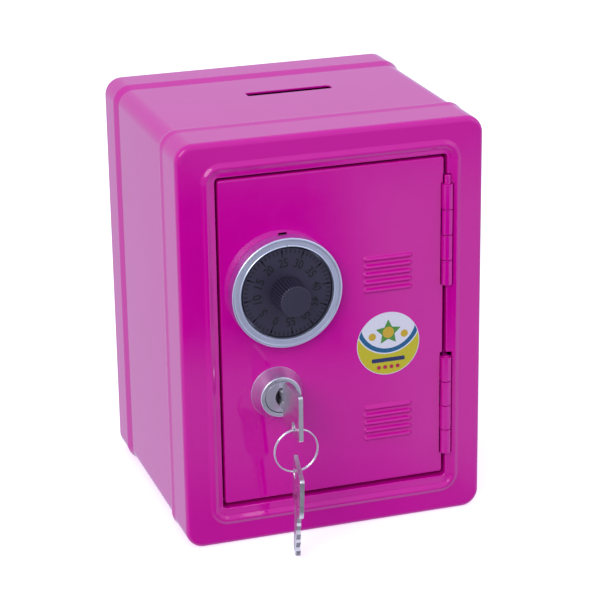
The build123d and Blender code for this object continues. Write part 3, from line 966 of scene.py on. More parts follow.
# ==== Geometry Nodes ==========================================================================
class Builder:
    """Geometry Nodes tree that is built step by step and run once into a plain mesh."""

    def __init__(self, name: str, sizes: Dict[str, Tuple[str, Input]]) -> None:
        """Start a tree with named inputs.

        Args:
            name: The tree's name.
            sizes: Input name to (socket type, value).
        """
        self.tree = bpy.data.node_groups.new(name, "GeometryNodeTree")
        self.values = {}
        for size, (kind, value) in sizes.items():
            socket = self.tree.interface.new_socket(size, in_out="INPUT", socket_type=kind)
            self.values[socket.identifier] = value
        self.tree.interface.new_socket("Geometry", in_out="OUTPUT",
                                       socket_type="NodeSocketGeometry")
        self.sizes = self.tree.nodes.new("NodeGroupInput").outputs

    def node(self, kind: str, inputs: Optional[Dict[Union[str, int], Input]] = None,
             **settings: object) -> bpy.types.Node:
        """Add a node to the tree.

        Args:
            kind: The node's type name.
            inputs: Input name or number to a value or a socket.
            **settings: Properties of the node itself.

        Returns:
            The new node.
        """
        return add(self.tree, kind, inputs, **settings)

    def run(self, name: str, geometry: bpy.types.NodeSocket,
            finish: bpy.types.Material) -> bpy.types.Object:
        """Close the tree, run it and keep its result as a plain mesh.

        Args:
            name: Name of the new piece.
            geometry: The socket that holds the finished geometry.
            finish: The piece's material.

        Returns:
            The piece, with no modifier.
        """
        real = self.node("GeometryNodeRealizeInstances", {"Geometry": geometry})
        coated = self.node("GeometryNodeSetMaterial", {"Geometry": real.outputs[0],
                                                       "Material": finish})
        self.node("NodeGroupOutput", {"Geometry": coated.outputs[0]})
        piece = mesh_piece(name, bpy.data.meshes.new(name))
        modifier = piece.modifiers.new(name, "NODES")
        modifier.node_group = self.tree
        for identifier, value in self.values.items():
            modifier[identifier] = value
        settle(piece)
        return piece


FLOAT = "NodeSocketFloat"
COUNT = "NodeSocketInt"
PLACE = "NodeSocketVector"
PART = "NodeSocketObject"


def around_dial(build: Builder, geometry: bpy.types.NodeSocket, count: bpy.types.NodeSocket,
                start: bpy.types.NodeSocket, centre: bpy.types.NodeSocket
                ) -> bpy.types.NodeSocket:
    """Repeat a geometry evenly about an axis along Y, clockwise seen from the front.

    Args:
        build: The tree.
        geometry: What is repeated, drawn at 12 o'clock about the origin.
        count: How many there are.
        start: Angle of the first one.
        centre: Where the axis is.

    Returns:
        The instances.
    """
    points = build.node("GeometryNodeMeshLine", {"Count": count, "Offset": (0.0, 0.0, 0.0)})
    index = build.node("GeometryNodeInputIndex")
    share = build.node("ShaderNodeMath", {0: index.outputs[0], 1: count}, operation="DIVIDE")
    angle = build.node("ShaderNodeMath", {0: share.outputs[0], 1: FULL_TURN, 2: start},
                       operation="MULTIPLY_ADD")
    turn = build.node("ShaderNodeCombineXYZ", {"Y": angle.outputs[0]})
    placed = build.node("GeometryNodeInstanceOnPoints",
                        {"Points": points.outputs[0], "Instance": geometry,
                         "Rotation": turn.outputs[0]})
    moved = build.node("GeometryNodeTranslateInstances",
                       {"Instances": placed.outputs[0], "Translation": centre,
                        "Local Space": False})
    return moved.outputs[0]


# ==== Door ====================================================================================
@dataclass
class Louvres:
    """Two groups of ribs pressed out of the door."""

    length: float = 20.4 * MM
    foot: float = 1.35 * MM      # half the rib's width where it meets the door
    height: float = 1.25 * MM
    pitch: float = 3.2 * MM
    count: int = 5
    middle_x: float = 22.0 * MM
    group_heights: Tuple[float, float] = (104.1 * MM, 42.6 * MM)
    rise_steps: int = 7

    def rib(self, foot: float, height: float, sink: float) -> bpy.types.Object:
        """One rib about the origin, rising towards -Y.

        Args:
            foot: Half its width.
            height: How far it rises.
            sink: How far its closed underside lies behind the sheet's surface.

        Returns:
            The rib.
        """
        straight = self.length / 2 - self.foot
        shape = bmesh.new()
        rings = []
        levels = [(foot, sink)]
        for step in range(self.rise_steps + 1):
            share = step / self.rise_steps
            reach = foot * (1 - 0.96 * share)
            rise = height * (1 - math.cos(math.pi * share)) / 2
            levels.append((reach, 0.01 * MM - rise))
        for reach, depth in levels:
            ring = []
            for end in (1, -1):
                for step in range(11):
                    angle = math.pi * (step / 10 - 0.5)
                    ring.append(Vector((end * (straight + reach * math.cos(angle)), depth,
                                        end * reach * math.sin(angle))))
            rings.append(ring)
        join_rings(shape, rings, closed=False)
        return from_bmesh("rib", shape)

    def group(self, name: str, foot: float, height: float, sink: float, depth: float,
              finish: bpy.types.Material) -> bpy.types.Object:
        """Both groups of ribs at one depth.

        Args:
            name: The new piece's name.
            foot: Half of a rib's width.
            height: How far a rib rises.
            sink: How far its underside lies behind the surface.
            depth: Depth of the surface.
            finish: Its material.

        Returns:
            Both groups in one mesh.
        """
        rib = self.rib(foot, height, sink)
        build = Builder(name, {
            "Rib": (PART, rib), "Count": (COUNT, self.count), "Pitch": (FLOAT, self.pitch),
            "Upper Group": (PLACE, (self.middle_x, depth, self.group_heights[0])),
            "Lower Group": (PLACE, (self.middle_x, depth, self.group_heights[1]))})
        sizes = build.sizes
        info = build.node("GeometryNodeObjectInfo", {"Object": sizes["Rib"]})
        step = build.node("ShaderNodeCombineXYZ", {"Z": sizes["Pitch"]})
        spaces = build.node("ShaderNodeMath", {0: sizes["Count"], 1: 1.0}, operation="SUBTRACT")
        span = build.node("ShaderNodeMath", {0: spaces.outputs[0], 1: sizes["Pitch"]},
                          operation="MULTIPLY")
        half = build.node("ShaderNodeMath", {0: span.outputs[0], 1: -0.5}, operation="MULTIPLY")
        drop = build.node("ShaderNodeCombineXYZ", {"Z": half.outputs[0]})
        groups = []
        for entry in ("Upper Group", "Lower Group"):
            start = build.node("ShaderNodeVectorMath", {0: drop.outputs[0], 1: sizes[entry]},
                               operation="ADD")
            row = build.node("GeometryNodeMeshLine",
                             {"Count": sizes["Count"], "Start Location": start.outputs[0],
                              "Offset": step.outputs[0]})
            groups.append(row.outputs[0])
        rows = build.node("GeometryNodeJoinGeometry", {0: groups[0]})
        build.tree.links.new(groups[1], rows.inputs[0])
        ribs = build.node("GeometryNodeInstanceOnPoints",
                          {"Points": rows.outputs[0], "Instance": info.outputs["Geometry"]})
        piece = build.run(name, ribs.outputs[0], finish)
        bpy.data.objects.remove(rib)
        return piece


@dataclass
class Sticker:
    """Round printed sticker: a star over a smile-shaped arc, a stripe and a row of dots."""

    radius: float = 12.9 * MM
    backing: float = 0.11 * MM
    ink: float = 0.012 * MM
    points: int = 96

    def __post_init__(self) -> None:
        """Read the sticker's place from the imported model."""
        low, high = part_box("door_label")
        self.centre = (low + high) / 2
        self.base = high.y

    def at(self, x: float, z: float, level: float) -> Vector:
        """Point on the sticker, level above the door."""
        return Vector((self.centre.x + x, self.base - level, self.centre.z + z))

    def within(self, centre: Point, radius: float, margin: float = 0.0) -> List[Point]:
        """Outline of what a circle and the sticker share.

        Args:
            centre: The circle's centre.
            radius: Its radius.
            margin: Margin left at the sticker's edge.

        Returns:
            The outline's points.
        """
        inner = self.radius - margin
        outline = []
        for step in range(self.points):
            angle = FULL_TURN * step / self.points
            x = centre[0] + radius * math.cos(angle)
            z = centre[1] + radius * math.sin(angle)
            share = min(1.0, inner / max(math.hypot(x, z), 1e-9))
            outline.append((x * share, z * share))
        return outline

    def star(self, centre: Point, outer: float, inner: float, tips: int = 5) -> List[Point]:
        """Outline of a star.

        Args:
            centre: Its centre.
            outer: Radius of its tips.
            inner: Radius of its notches.
            tips: How many tips it has.

        Returns:
            The outline's points.
        """
        outline = []
        for step in range(2 * tips):
            angle = math.pi * (0.5 + step / tips)
            radius = inner if step % 2 else outer
            outline.append((centre[0] + radius * math.cos(angle),
                            centre[1] + radius * math.sin(angle)))
        return outline

    def build(self) -> None:
        """Build the backing and the inks, and dress them as one piece."""
        white = PrintedVinyl("white_vinyl", "E9E8EE", "DEDDE6").build()
        teal = PrintedVinyl("teal_ink", "1F5C86", "256893").build()
        yellow = PrintedVinyl("yellow_ink", "CFC42C", "C6BA24").build()
        green = PrintedVinyl("green_ink", "4E8F3C", "5B9A45").build()
        gold = PrintedVinyl("gold_ink", "D8B53A", "CBA62F").build()
        red = PrintedVinyl("red_ink", "C02A4E", "B52349").build()
        navy = PrintedVinyl("navy_ink", "26305E", "2C3768").build()
        upper = (0.0, 9.5 * MM)
        emblem = (0.0, 4.6 * MM)
        layers = [
            (self.within((0.0, 0.0), self.radius), white),
            (self.within((0.0, 0.0), self.radius - 0.25 * MM), yellow),
            (self.within(upper, 13.8 * MM, 0.25 * MM), white),
            (self.within(upper, 13.3 * MM, 0.25 * MM), teal),
            (self.within(upper, 11.5 * MM, 0.25 * MM), white),
            (self.star(emblem, 5.4 * MM, 2.7 * MM), green),
            (self.within(emblem, 2.3 * MM), gold),
            (self.within((-6.6 * MM, 3.4 * MM), 1.5 * MM), gold),
            (self.within((6.6 * MM, 3.4 * MM), 1.5 * MM), gold),
        ]
        stripe = [(-6.8 * MM, -7.5 * MM, 0.5 * MM), (6.8 * MM, -7.5 * MM, 0.5 * MM),
                  (6.8 * MM, -5.9 * MM, 0.5 * MM), (-6.8 * MM, -5.9 * MM, 0.5 * MM)]
        layers.append((rounded_outline(stripe), navy))
        for place in range(4):
            layers.append((self.within(((place - 1.5) * 2.6 * MM, -9.7 * MM), 0.8 * MM), red))
        pieces = []
        for level, (outline, ink) in enumerate(layers):
            shape = bmesh.new()
            top = self.backing + self.ink * level
            bottom = self.backing / 2 if level else 0.0
            extruded(shape, outline, self.at, bottom, top)
            piece = from_bmesh("layer", shape)
            piece.data.materials.append(ink)
            pieces.append(piece)
        label = merge("door_round_sticker", pieces)
        dress(label, Body.DOOR.value, None, ["door_label"])


def merge(name: str, pieces: Sequence[bpy.types.Object]) -> bpy.types.Object:
    """Put several pieces' meshes into one, with their materials.

    Args:
        name: The new piece's name.
        pieces: The pieces, which are deleted.

    Returns:
        The new piece.
    """
    shape = bmesh.new()
    finishes: List[bpy.types.Material] = []
    for piece in pieces:
        for finish in piece.data.materials:
            if finish not in finishes:
                finishes.append(finish)
        own = [finishes.index(finish) for finish in piece.data.materials] or [0]
        before = len(shape.faces)
        shape.from_mesh(piece.data)
        shape.faces.ensure_lookup_table()
        for face in shape.faces[before:]:
            face.material_index = own[min(face.material_index, len(own) - 1)]
    mesh = bpy.data.meshes.new(name)
    shape.to_mesh(mesh)
    shape.free()
    for finish in finishes:
        mesh.materials.append(finish)
    for piece in pieces:
        bpy.data.objects.remove(piece)
    return mesh_piece(name, mesh)


@dataclass
class Door:
    """Folded door pan with pressed louvres and its sticker."""

    finishes: Finishes
    louvres: Louvres = field(default_factory=Louvres)
    notches: HingeNotches = field(default_factory=HingeNotches)
    half: float = 45.1 * MM
    low: float = 17.1 * MM
    high: float = 148.1 * MM
    corner: float = 1.2 * MM
    face: float = -34.95 * MM
    wall: float = 0.8 * MM
    fold: float = 6.0 * MM
    fold_round: float = 1.0 * MM
    shaft_hole: float = 4.1 * MM
    lock_hole: float = 7.6 * MM
    tool_mark: Tuple[float, float] = (3.4 * MM, 0.55 * MM)
    bezel_radius: float = 21.9 * MM

    def ring(self, inset: float, depth: float) -> List[Vector]:
        """Outline of the door, drawn in by an inset.

        Args:
            inset: How far inside the door's outline.
            depth: Its place along Y.

        Returns:
            The ring's points.
        """
        return rounded_ring(self.half - inset, self.low + inset, self.high - inset,
                            max(self.corner - inset, 0.25 * MM), depth, 6)

    def build(self) -> None:
        """Build the pan, press the louvres, cut its holes and add the sticker."""
        face, wall = self.face, self.wall
        back = face + self.fold
        inner = [(1.9 * wall, face + wall), (1.1 * wall, face + 1.15 * wall),
                 (wall, face + 2 * wall), (wall, back)]
        outer = [(0.0, back)] + [(inset, face + run) for inset, run in
                                 bend((0.0, self.fold_round), (0.0, 0.0),
                                      (self.fold_round, 0.0), 6)]
        shape = bmesh.new()
        join_rings(shape, [self.ring(inset, depth) for inset, depth in inner + outer],
                   closed=False)
        door = from_bmesh("door_panel_pressing", shape)
        raised = self.louvres.group("louvres", self.louvres.foot, self.louvres.height,
                                    0.3 * MM, face, self.finishes.enamel)
        hollow = self.louvres.group("louvre_hollows", 0.85 * MM, 0.6 * MM, 0.2 * MM,
                                    face + wall, self.finishes.enamel)
        union = door.modifiers.new("press", "BOOLEAN")
        union.operation = "UNION"
        union.solver = "EXACT"
        union.object = raised
        settle(door)
        bpy.data.objects.remove(raised)
        dial, lock = middle("dial"), middle("lock_plug")
        width, reach = self.tool_mark
        top = dial.z + self.bezel_radius
        cutters = [hollow, round_cutter(Vector((dial.x, face, dial.z)), self.shaft_hole, 4 * wall),
                   round_cutter(Vector((lock.x, face, lock.z)), self.lock_hole, 4 * wall),
                   box_cutter(Vector((dial.x - width / 2, face - wall, top - reach)),
                              Vector((dial.x + width / 2, face + 2 * wall, top + reach)))]
        cut(door, cutters + self.notches.cutters(self.face - 0.6 * MM, -1))
        smooth(door)
        dress(door, Body.DOOR.value, self.finishes.enamel, ["door_panel"])
        Sticker().build()


# ==== Hinges ==================================================================================
@dataclass
class Hinge:
    """Rolled-knuckle hinge: two leaves bent from sheet about a headless pin."""

    finishes: Finishes
    name: str
    top: float
    pin_stand_up: float
    axis_x: float = 46.2 * MM
    axis_y: float = -35.55 * MM
    knuckle_radius: float = 2.15 * MM
    pin_radius: float = 1.25 * MM
    sheet: float = 0.8 * MM
    pitch: float = 10.25 * MM
    gap: float = 0.3 * MM
    count: int = 4
    bend_start: float = 2.2 * MM
    bend_end: float = 3.2 * MM
    leaf_flat: Dict[str, float] = field(
        default_factory=lambda: {"frame": 47.0 * MM, "door": 44.3 * MM})
    leaf_reach: Dict[str, float] = field(
        default_factory=lambda: {"frame": 7.5 * MM, "door": 6.2 * MM})
    edge_round: float = 0.14 * MM
    roll_steps: int = 30

    def knuckle(self, owner: str, side: int) -> List[Point]:
        """Cross-section of a rolled knuckle and its neck, seen from above.

        Args:
            owner: frame or door.
            side: 1 for the frame's leaf, -1 for the door's.

        Returns:
            The outline's points.
        """
        flat = self.leaf_flat[owner]
        inner = self.knuckle_radius - self.sheet
        start, end = 0.0, math.radians(328)
        rolled = []
        for radius, turns in ((self.knuckle_radius, range(self.roll_steps + 1)),
                              (inner, range(self.roll_steps, -1, -1))):
            arc = []
            for step in turns:
                angle = start - (end - start) * step / self.roll_steps
                arc.append((self.axis_x + side * radius * math.cos(angle),
                            self.axis_y + radius * math.sin(angle)))
            rolled.append(arc)
        near = self.axis_x + side * inner
        far = self.axis_x + side * self.knuckle_radius
        bent = self.axis_y + self.bend_start
        foot = self.axis_y + self.bend_end
        leaf_out, leaf_in = flat + side * self.sheet, flat
        return rolled[0] + rolled[1] + [(near, bent), (leaf_in, foot), (leaf_out, foot),
                                        (far, bent)]

    def leaf(self, owner: str, side: int, first: int) -> None:
        """Build and dress one leaf with its knuckles.

        Args:
            owner: frame or door.
            side: 1 for the frame's leaf, -1 for the door's.
            first: Place of its first knuckle from the top.
        """
        def lift(x: float, y: float, z: float) -> Vector:
            """Point of an outline seen from above, at a height."""
            return Vector((x, y, z))

        flat = self.leaf_flat[owner]
        reach = self.axis_y + self.leaf_reach[owner]
        length = self.count * self.pitch - self.gap
        plate = [(flat, self.axis_y + self.bend_end),
                 (flat + side * self.sheet, self.axis_y + self.bend_end),
                 (flat + side * self.sheet, reach), (flat, reach)]
        shape = bmesh.new()
        extruded(shape, plate, lift, self.top - length, self.top)
        pieces = [from_bmesh("plate", shape)]
        outline = self.knuckle(owner, side)
        for place in range(first, self.count, 2):
            high = self.top - place * self.pitch
            shape = bmesh.new()
            extruded(shape, outline, lift, high - self.pitch + self.gap, high)
            pieces.append(from_bmesh("knuckle", shape))
        leaf = merge(f"{self.name}_hinge_{owner}_leaf_rolled", pieces)
        smooth(leaf, self.edge_round)
        body = Body.CASE if owner == "frame" else Body.DOOR
        dress(leaf, body.value, self.finishes.enamel,
              [f"{self.name}_hinge_{owner}_leaf"])

    def build(self) -> None:
        """Build both leaves and the pin."""
        self.leaf("frame", 1, 1)
        self.leaf("door", -1, 0)
        low = self.top - self.count * self.pitch + self.gap
        high = self.top + self.pin_stand_up
        tip = min(0.5 * MM, self.pin_stand_up / 2)
        profile = [(0.6 * self.pin_radius, low), (self.pin_radius, low + 0.3 * MM)]
        profile += [(radius, z) for radius, z in
                    bend((self.pin_radius, high - tip), (self.pin_radius, high),
                         (self.pin_radius - tip, high), 5)]
        shape = bmesh.new()
        rings = []
        for radius, z in profile:
            rings.append([Vector((self.axis_x + radius * math.cos(FULL_TURN * step / 40),
                                  self.axis_y + radius * math.sin(FULL_TURN * step / 40), z))
                          for step in range(40)])
        join_rings(shape, rings, closed=False)
        pin = from_bmesh(f"{self.name}_hinge_pin_rod", shape)
        smooth(pin)
        dress(pin, Body.CASE.value, self.finishes.enamel,
              [f"{self.name}_hinge_pin"])


# ==== Dial ====================================================================================
@dataclass
class Bezel:
    """Plated bezel: a turned ring on a thin floor, held by three bent tabs."""

    finishes: Finishes
    radius: float = 21.9 * MM
    bore: float = 18.0 * MM
    depth: float = 5.5 * MM
    floor: float = 1.0 * MM
    shaft_bore: float = 3.6 * MM
    rim_round: float = 0.7 * MM
    tab_radius: float = 19.6 * MM
    tab_count: int = 3
    tab_start: float = math.radians(-15)     # clear of the tool mark at 12 o'clock
    tab_sheet: float = 1.2 * MM
    tab_width: float = 4.0 * MM
    tab_foot: float = 3.2 * MM
    door_sheet: float = 0.8 * MM
    line_width: float = 0.55 * MM

    def profile(self) -> List[Point]:
        """Cross-section of the ring as (radius, depth from the door's face)."""
        radius, bore, deep = self.radius, self.bore, self.depth
        outline = [(radius - 0.15 * MM, 0.0), (radius, -0.15 * MM)]
        outline += bend((radius, self.rim_round - deep), (radius, -deep),
                        (radius - self.rim_round, -deep), 6)
        outline += bend((radius - 1.05 * MM, -deep), (radius - 1.2 * MM, -deep),
                        (radius - 1.25 * MM, 0.3 * MM - deep), 3)
        outline += [(radius - 1.45 * MM, 0.32 * MM - deep), (bore + 0.95 * MM, 0.3 * MM - deep)]
        outline += bend((bore + 0.85 * MM, 0.18 * MM - deep), (bore + 0.65 * MM, -deep),
                        (bore + 0.45 * MM, 0.1 * MM - deep), 4)
        outline += [(bore + 0.05 * MM, 0.75 * MM - deep), (bore, 1.0 * MM - deep),
                    (bore, -self.floor), (self.shaft_bore, -self.floor), (self.shaft_bore, 0.0)]
        return outline

    def build(self) -> None:
        """Build the ring, its index line and its tabs."""
        centre = middle("dial")
        base = Vector((centre.x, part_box("dial_housing")[0].y + self.depth, centre.z))
        shape = bmesh.new()
        lathe(shape, self.profile(), base, steps=144)
        pieces = [from_bmesh("ring", shape)]
        middle_radius = (self.radius + self.bore) / 2
        half_line = self.line_width / 2
        outline = rounded_outline([(-half_line, -1.35 * MM, 0.15 * MM),
                                   (half_line, -1.35 * MM, 0.15 * MM),
                                   (half_line, 1.35 * MM, 0.15 * MM),
                                   (-half_line, 1.35 * MM, 0.15 * MM)], 3)
        shape = bmesh.new()
        extruded(shape, outline, lambda x, z, level: base + Vector((x, level, middle_radius + z)),
                 -self.depth + 0.5 * MM, -self.depth + 0.05 * MM)
        pieces.append(from_bmesh("line", shape))
        for tab in range(self.tab_count):
            turn = Matrix.Rotation(self.tab_start + FULL_TURN * tab / self.tab_count, 3, "Y")
            inner, outer = self.tab_radius - self.tab_sheet / 2, self.tab_radius + self.tab_foot
            through = self.door_sheet + self.tab_sheet
            corners = rounded_outline([
                (inner, -self.floor / 2, 0), (inner + self.tab_sheet, -self.floor / 2, 0),
                (inner + self.tab_sheet, self.door_sheet, 0.1 * MM),
                (outer, self.door_sheet, 0.3 * MM), (outer, through, 0.3 * MM),
                (inner, through, 0.9 * MM)], 4)
            shape = bmesh.new()
            extruded(shape, corners, lambda out, run, side: base + turn @ Vector((side, run, out)),
                     -self.tab_width / 2, self.tab_width / 2)
            pieces.append(from_bmesh("tab", shape))
        bezel = merge("dial_bezel_plated", pieces)
        smooth(bezel)
        dress(bezel, Body.DOOR.value, self.finishes.bezel_chrome,
              ["dial_housing"])


@dataclass
class Dial:
    """Numbered disc moulded in one with its fluted knob and shaft."""

    finishes: Finishes
    disc_radius: float = 17.6 * MM
    disc_thickness: float = 2.2 * MM
    knob_base: float = 6.75 * MM
    knob_tip: float = 6.1 * MM
    knob_height: float = 11.0 * MM
    knob_edge: float = 0.45 * MM
    flutes: int = 32
    flute_depth: float = 0.8 * MM
    flute_stop: float = 0.7 * MM
    shaft_radius: float = 3.5 * MM
    square: float = 4.6 * MM
    zero_angle: float = math.radians(-156.3)
    tick_count: int = 60
    tick_width: float = 0.5 * MM
    tick_outer: float = 17.2 * MM
    short_tick: float = 1.5 * MM
    long_tick: float = 3.1 * MM
    numeral_step: int = 5
    numeral_radius: float = 11.9 * MM
    numeral_height: float = 3.5 * MM
    digit_width: float = 1.8 * MM
    relief: float = 0.05 * MM

    def __post_init__(self) -> None:
        """Read the dial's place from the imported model."""
        self.centre = middle("dial")
        self.knob_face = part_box("dial")[0].y
        self.disc_front = self.knob_face + self.knob_height
        self.disc_back = self.disc_front + self.disc_thickness
        self.wheel_front, self.wheel_back = (corner.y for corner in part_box("dial_click_wheel"))

    def build(self) -> None:
        """Build the moulding, then the printing on it."""
        self.build_moulding()
        self.build_printing()

    def build_moulding(self) -> None:
        """Disc, shaft, square end and fluted knob."""
        edge = 0.25 * MM
        outline = [(self.shaft_radius, self.wheel_front), (self.shaft_radius, self.disc_back),
                   (self.disc_radius - edge, self.disc_back),
                   (self.disc_radius, self.disc_back - edge)]
        outline += bend((self.disc_radius, self.disc_front + edge),
                        (self.disc_radius, self.disc_front),
                        (self.disc_radius - edge, self.disc_front), 4)
        outline.append((self.knob_base * 0.8, self.disc_front))
        axis = Vector((self.centre.x, 0, self.centre.z))
        shape = bmesh.new()
        lathe(shape, outline, axis, steps=144, closed=False)
        disc = from_bmesh("disc", shape)
        half = self.square / 2
        square = box_cutter(Vector((axis.x - half, self.wheel_front - edge, axis.z - half)),
                            Vector((axis.x + half, self.wheel_back, axis.z + half)))
        moulding = merge("dial_moulding_fluted", [disc, square, self.knob()])
        smooth(moulding)
        dress(moulding, Body.DIAL.value, self.finishes.dial_abs,
              ["dial"])

    def knob(self) -> bpy.types.Object:
        """Knob whose side follows a flute rule: its radius swings with the angle about its axis.

        Returns:
            The knob as a plain mesh.
        """
        build = Builder("fluted_knob", {
            "Base Radius": (FLOAT, self.knob_base), "Tip Radius": (FLOAT, self.knob_tip),
            "Height": (FLOAT, self.knob_height), "Edge Round": (FLOAT, self.knob_edge),
            "Flute Count": (COUNT, self.flutes), "Flute Depth": (FLOAT, self.flute_depth),
            "Flute Stop": (FLOAT, self.flute_stop),
            "Base": (PLACE, (self.centre.x, self.disc_front, self.centre.z))})
        sizes = build.sizes

        def sum_of(operation: str, *terms: Input) -> bpy.types.NodeSocket:
            """Result of a Math node."""
            return build.node("ShaderNodeMath", dict(enumerate(terms)),
                              operation=operation).outputs[0]

        body = build.node("GeometryNodeMeshCylinder",
                          {"Vertices": self.flutes * 8, "Side Segments": 36,
                           "Radius": 1.0, "Depth": sizes["Height"]})
        place = build.node("ShaderNodeSeparateXYZ",
                           {0: build.node("GeometryNodeInputPosition").outputs[0]})
        x, y, z = place.outputs
        height = sum_of("MULTIPLY_ADD", sizes["Height"], 0.5, z)
        share = sum_of("DIVIDE", height, sizes["Height"])
        taper = sum_of("SUBTRACT", sizes["Tip Radius"], sizes["Base Radius"])
        cone = sum_of("MULTIPLY_ADD", taper, share, sizes["Base Radius"])
        angle = sum_of("ARCTAN2", y, x)
        wave = sum_of("COSINE", sum_of("MULTIPLY", angle, sizes["Flute Count"]))
        ridge = sum_of("POWER", sum_of("MULTIPLY_ADD", wave, 0.5, 0.5), 1.4)
        left = sum_of("SUBTRACT", sizes["Height"], height)
        mask = sum_of("SMOOTH_MIN", sum_of("DIVIDE", left, sizes["Flute Stop"]), 1.0, 0.2)
        fluted = sum_of("MULTIPLY", sum_of("MULTIPLY", ridge, mask), sizes["Flute Depth"])
        over = sum_of("MAXIMUM", sum_of("SUBTRACT", 1.0,
                                        sum_of("DIVIDE", left, sizes["Edge Round"])), 0.0)
        rounded = sum_of("MULTIPLY", sum_of("POWER", over, 2.2), sizes["Edge Round"])
        radius = sum_of("SUBTRACT", sum_of("SUBTRACT", cone, fluted), rounded)
        new_x, new_z = (sum_of("MULTIPLY", side, radius) for side in (x, y))
        forward = sum_of("MULTIPLY", height, -1.0)
        shape = build.node("ShaderNodeCombineXYZ", {"X": new_x, "Y": forward, "Z": new_z})
        there = build.node("ShaderNodeVectorMath", {0: shape.outputs[0], 1: sizes["Base"]},
                           operation="ADD")
        knob = build.node("GeometryNodeSetPosition", {"Geometry": body.outputs["Mesh"],
                                                      "Position": there.outputs[0]})
        return build.run("knob", knob.outputs[0], self.finishes.dial_abs)

    def build_printing(self) -> None:
        """Ticks and numerals, printed a hair above the disc."""
        build = Builder("dial_ticks", {
            "Tick Width": (FLOAT, self.tick_width), "Relief": (FLOAT, 2 * self.relief),
            "Outer Radius": (FLOAT, self.tick_outer), "Short Length": (FLOAT, self.short_tick),
            "Long Length": (FLOAT, self.long_tick), "Short Count": (COUNT, self.tick_count),
            "Long Count": (COUNT, self.tick_count // self.numeral_step),
            "Start Angle": (FLOAT, self.zero_angle),
            "Centre": (PLACE, (self.centre.x, self.disc_front, self.centre.z))})
        sizes = build.sizes
        rows = []
        for kind in ("Short", "Long"):
            length = sizes[f"{kind} Length"]
            size = build.node("ShaderNodeCombineXYZ", {"X": sizes["Tick Width"],
                                                       "Y": sizes["Relief"], "Z": length})
            tick = build.node("GeometryNodeMeshCube", {"Size": size.outputs[0]})
            up = build.node("ShaderNodeMath", {0: length, 1: -0.5, 2: sizes["Outer Radius"]},
                            operation="MULTIPLY_ADD")
            offset = build.node("ShaderNodeCombineXYZ", {"Z": up.outputs[0]})
            moved = build.node("GeometryNodeTransform", {"Geometry": tick.outputs[0],
                                                         "Translation": offset.outputs[0]})
            rows.append(around_dial(build, moved.outputs[0], sizes[f"{kind} Count"],
                                    sizes["Start Angle"], sizes["Centre"]))
        ticks = build.node("GeometryNodeJoinGeometry", {0: rows[0]})
        build.tree.links.new(rows[1], ticks.inputs[0])
        pieces = [build.run("dial_ticks", ticks.outputs[0], self.finishes.dial_ink)]
        for value in range(0, self.tick_count, self.numeral_step):
            pieces.append(self.numeral(value))
        printing = merge("dial_printed_scale", pieces)
        dress(printing, Body.DIAL.value, self.finishes.dial_ink)

    def numeral(self, value: int) -> bpy.types.Object:
        """One printed number, its top outwards.

        Args:
            value: The number.

        Returns:
            The number as a plain mesh.
        """
        text = bpy.data.curves.new("numeral", "FONT")
        text.body = str(value)
        text.align_x = "CENTER"
        text.align_y = "CENTER"
        text.extrude = 0.1
        text.offset = 0.018
        text.space_character = 1.05
        holder = bpy.data.objects.new("numeral", text)
        bpy.context.scene.collection.objects.link(holder)
        bpy.context.view_layer.update()
        mesh = bpy.data.meshes.new_from_object(
            holder.evaluated_get(bpy.context.evaluated_depsgraph_get()))
        bpy.data.objects.remove(holder)
        bpy.data.curves.remove(text)
        spans = []
        for axis in range(3):
            values = [vertex.co[axis] for vertex in mesh.vertices]
            spans.append((min(values), max(values)))
        wanted = (self.digit_width * len(str(value)), self.numeral_height, 2 * self.relief)
        angle = self.zero_angle + FULL_TURN * value / self.tick_count
        right = Vector((math.cos(angle), 0, -math.sin(angle)))
        out = Vector((math.sin(angle), 0, math.cos(angle)))
        home = Vector((self.centre.x, self.disc_front, self.centre.z)) + self.numeral_radius * out
        for vertex in mesh.vertices:
            across, up, rise = ((vertex.co[axis] - sum(spans[axis]) / 2)
                                / (spans[axis][1] - spans[axis][0]) * wanted[axis]
                                for axis in range(3))
            vertex.co = home + across * right + up * out + Vector((0, -rise, 0))
        return mesh_piece("numeral", mesh)


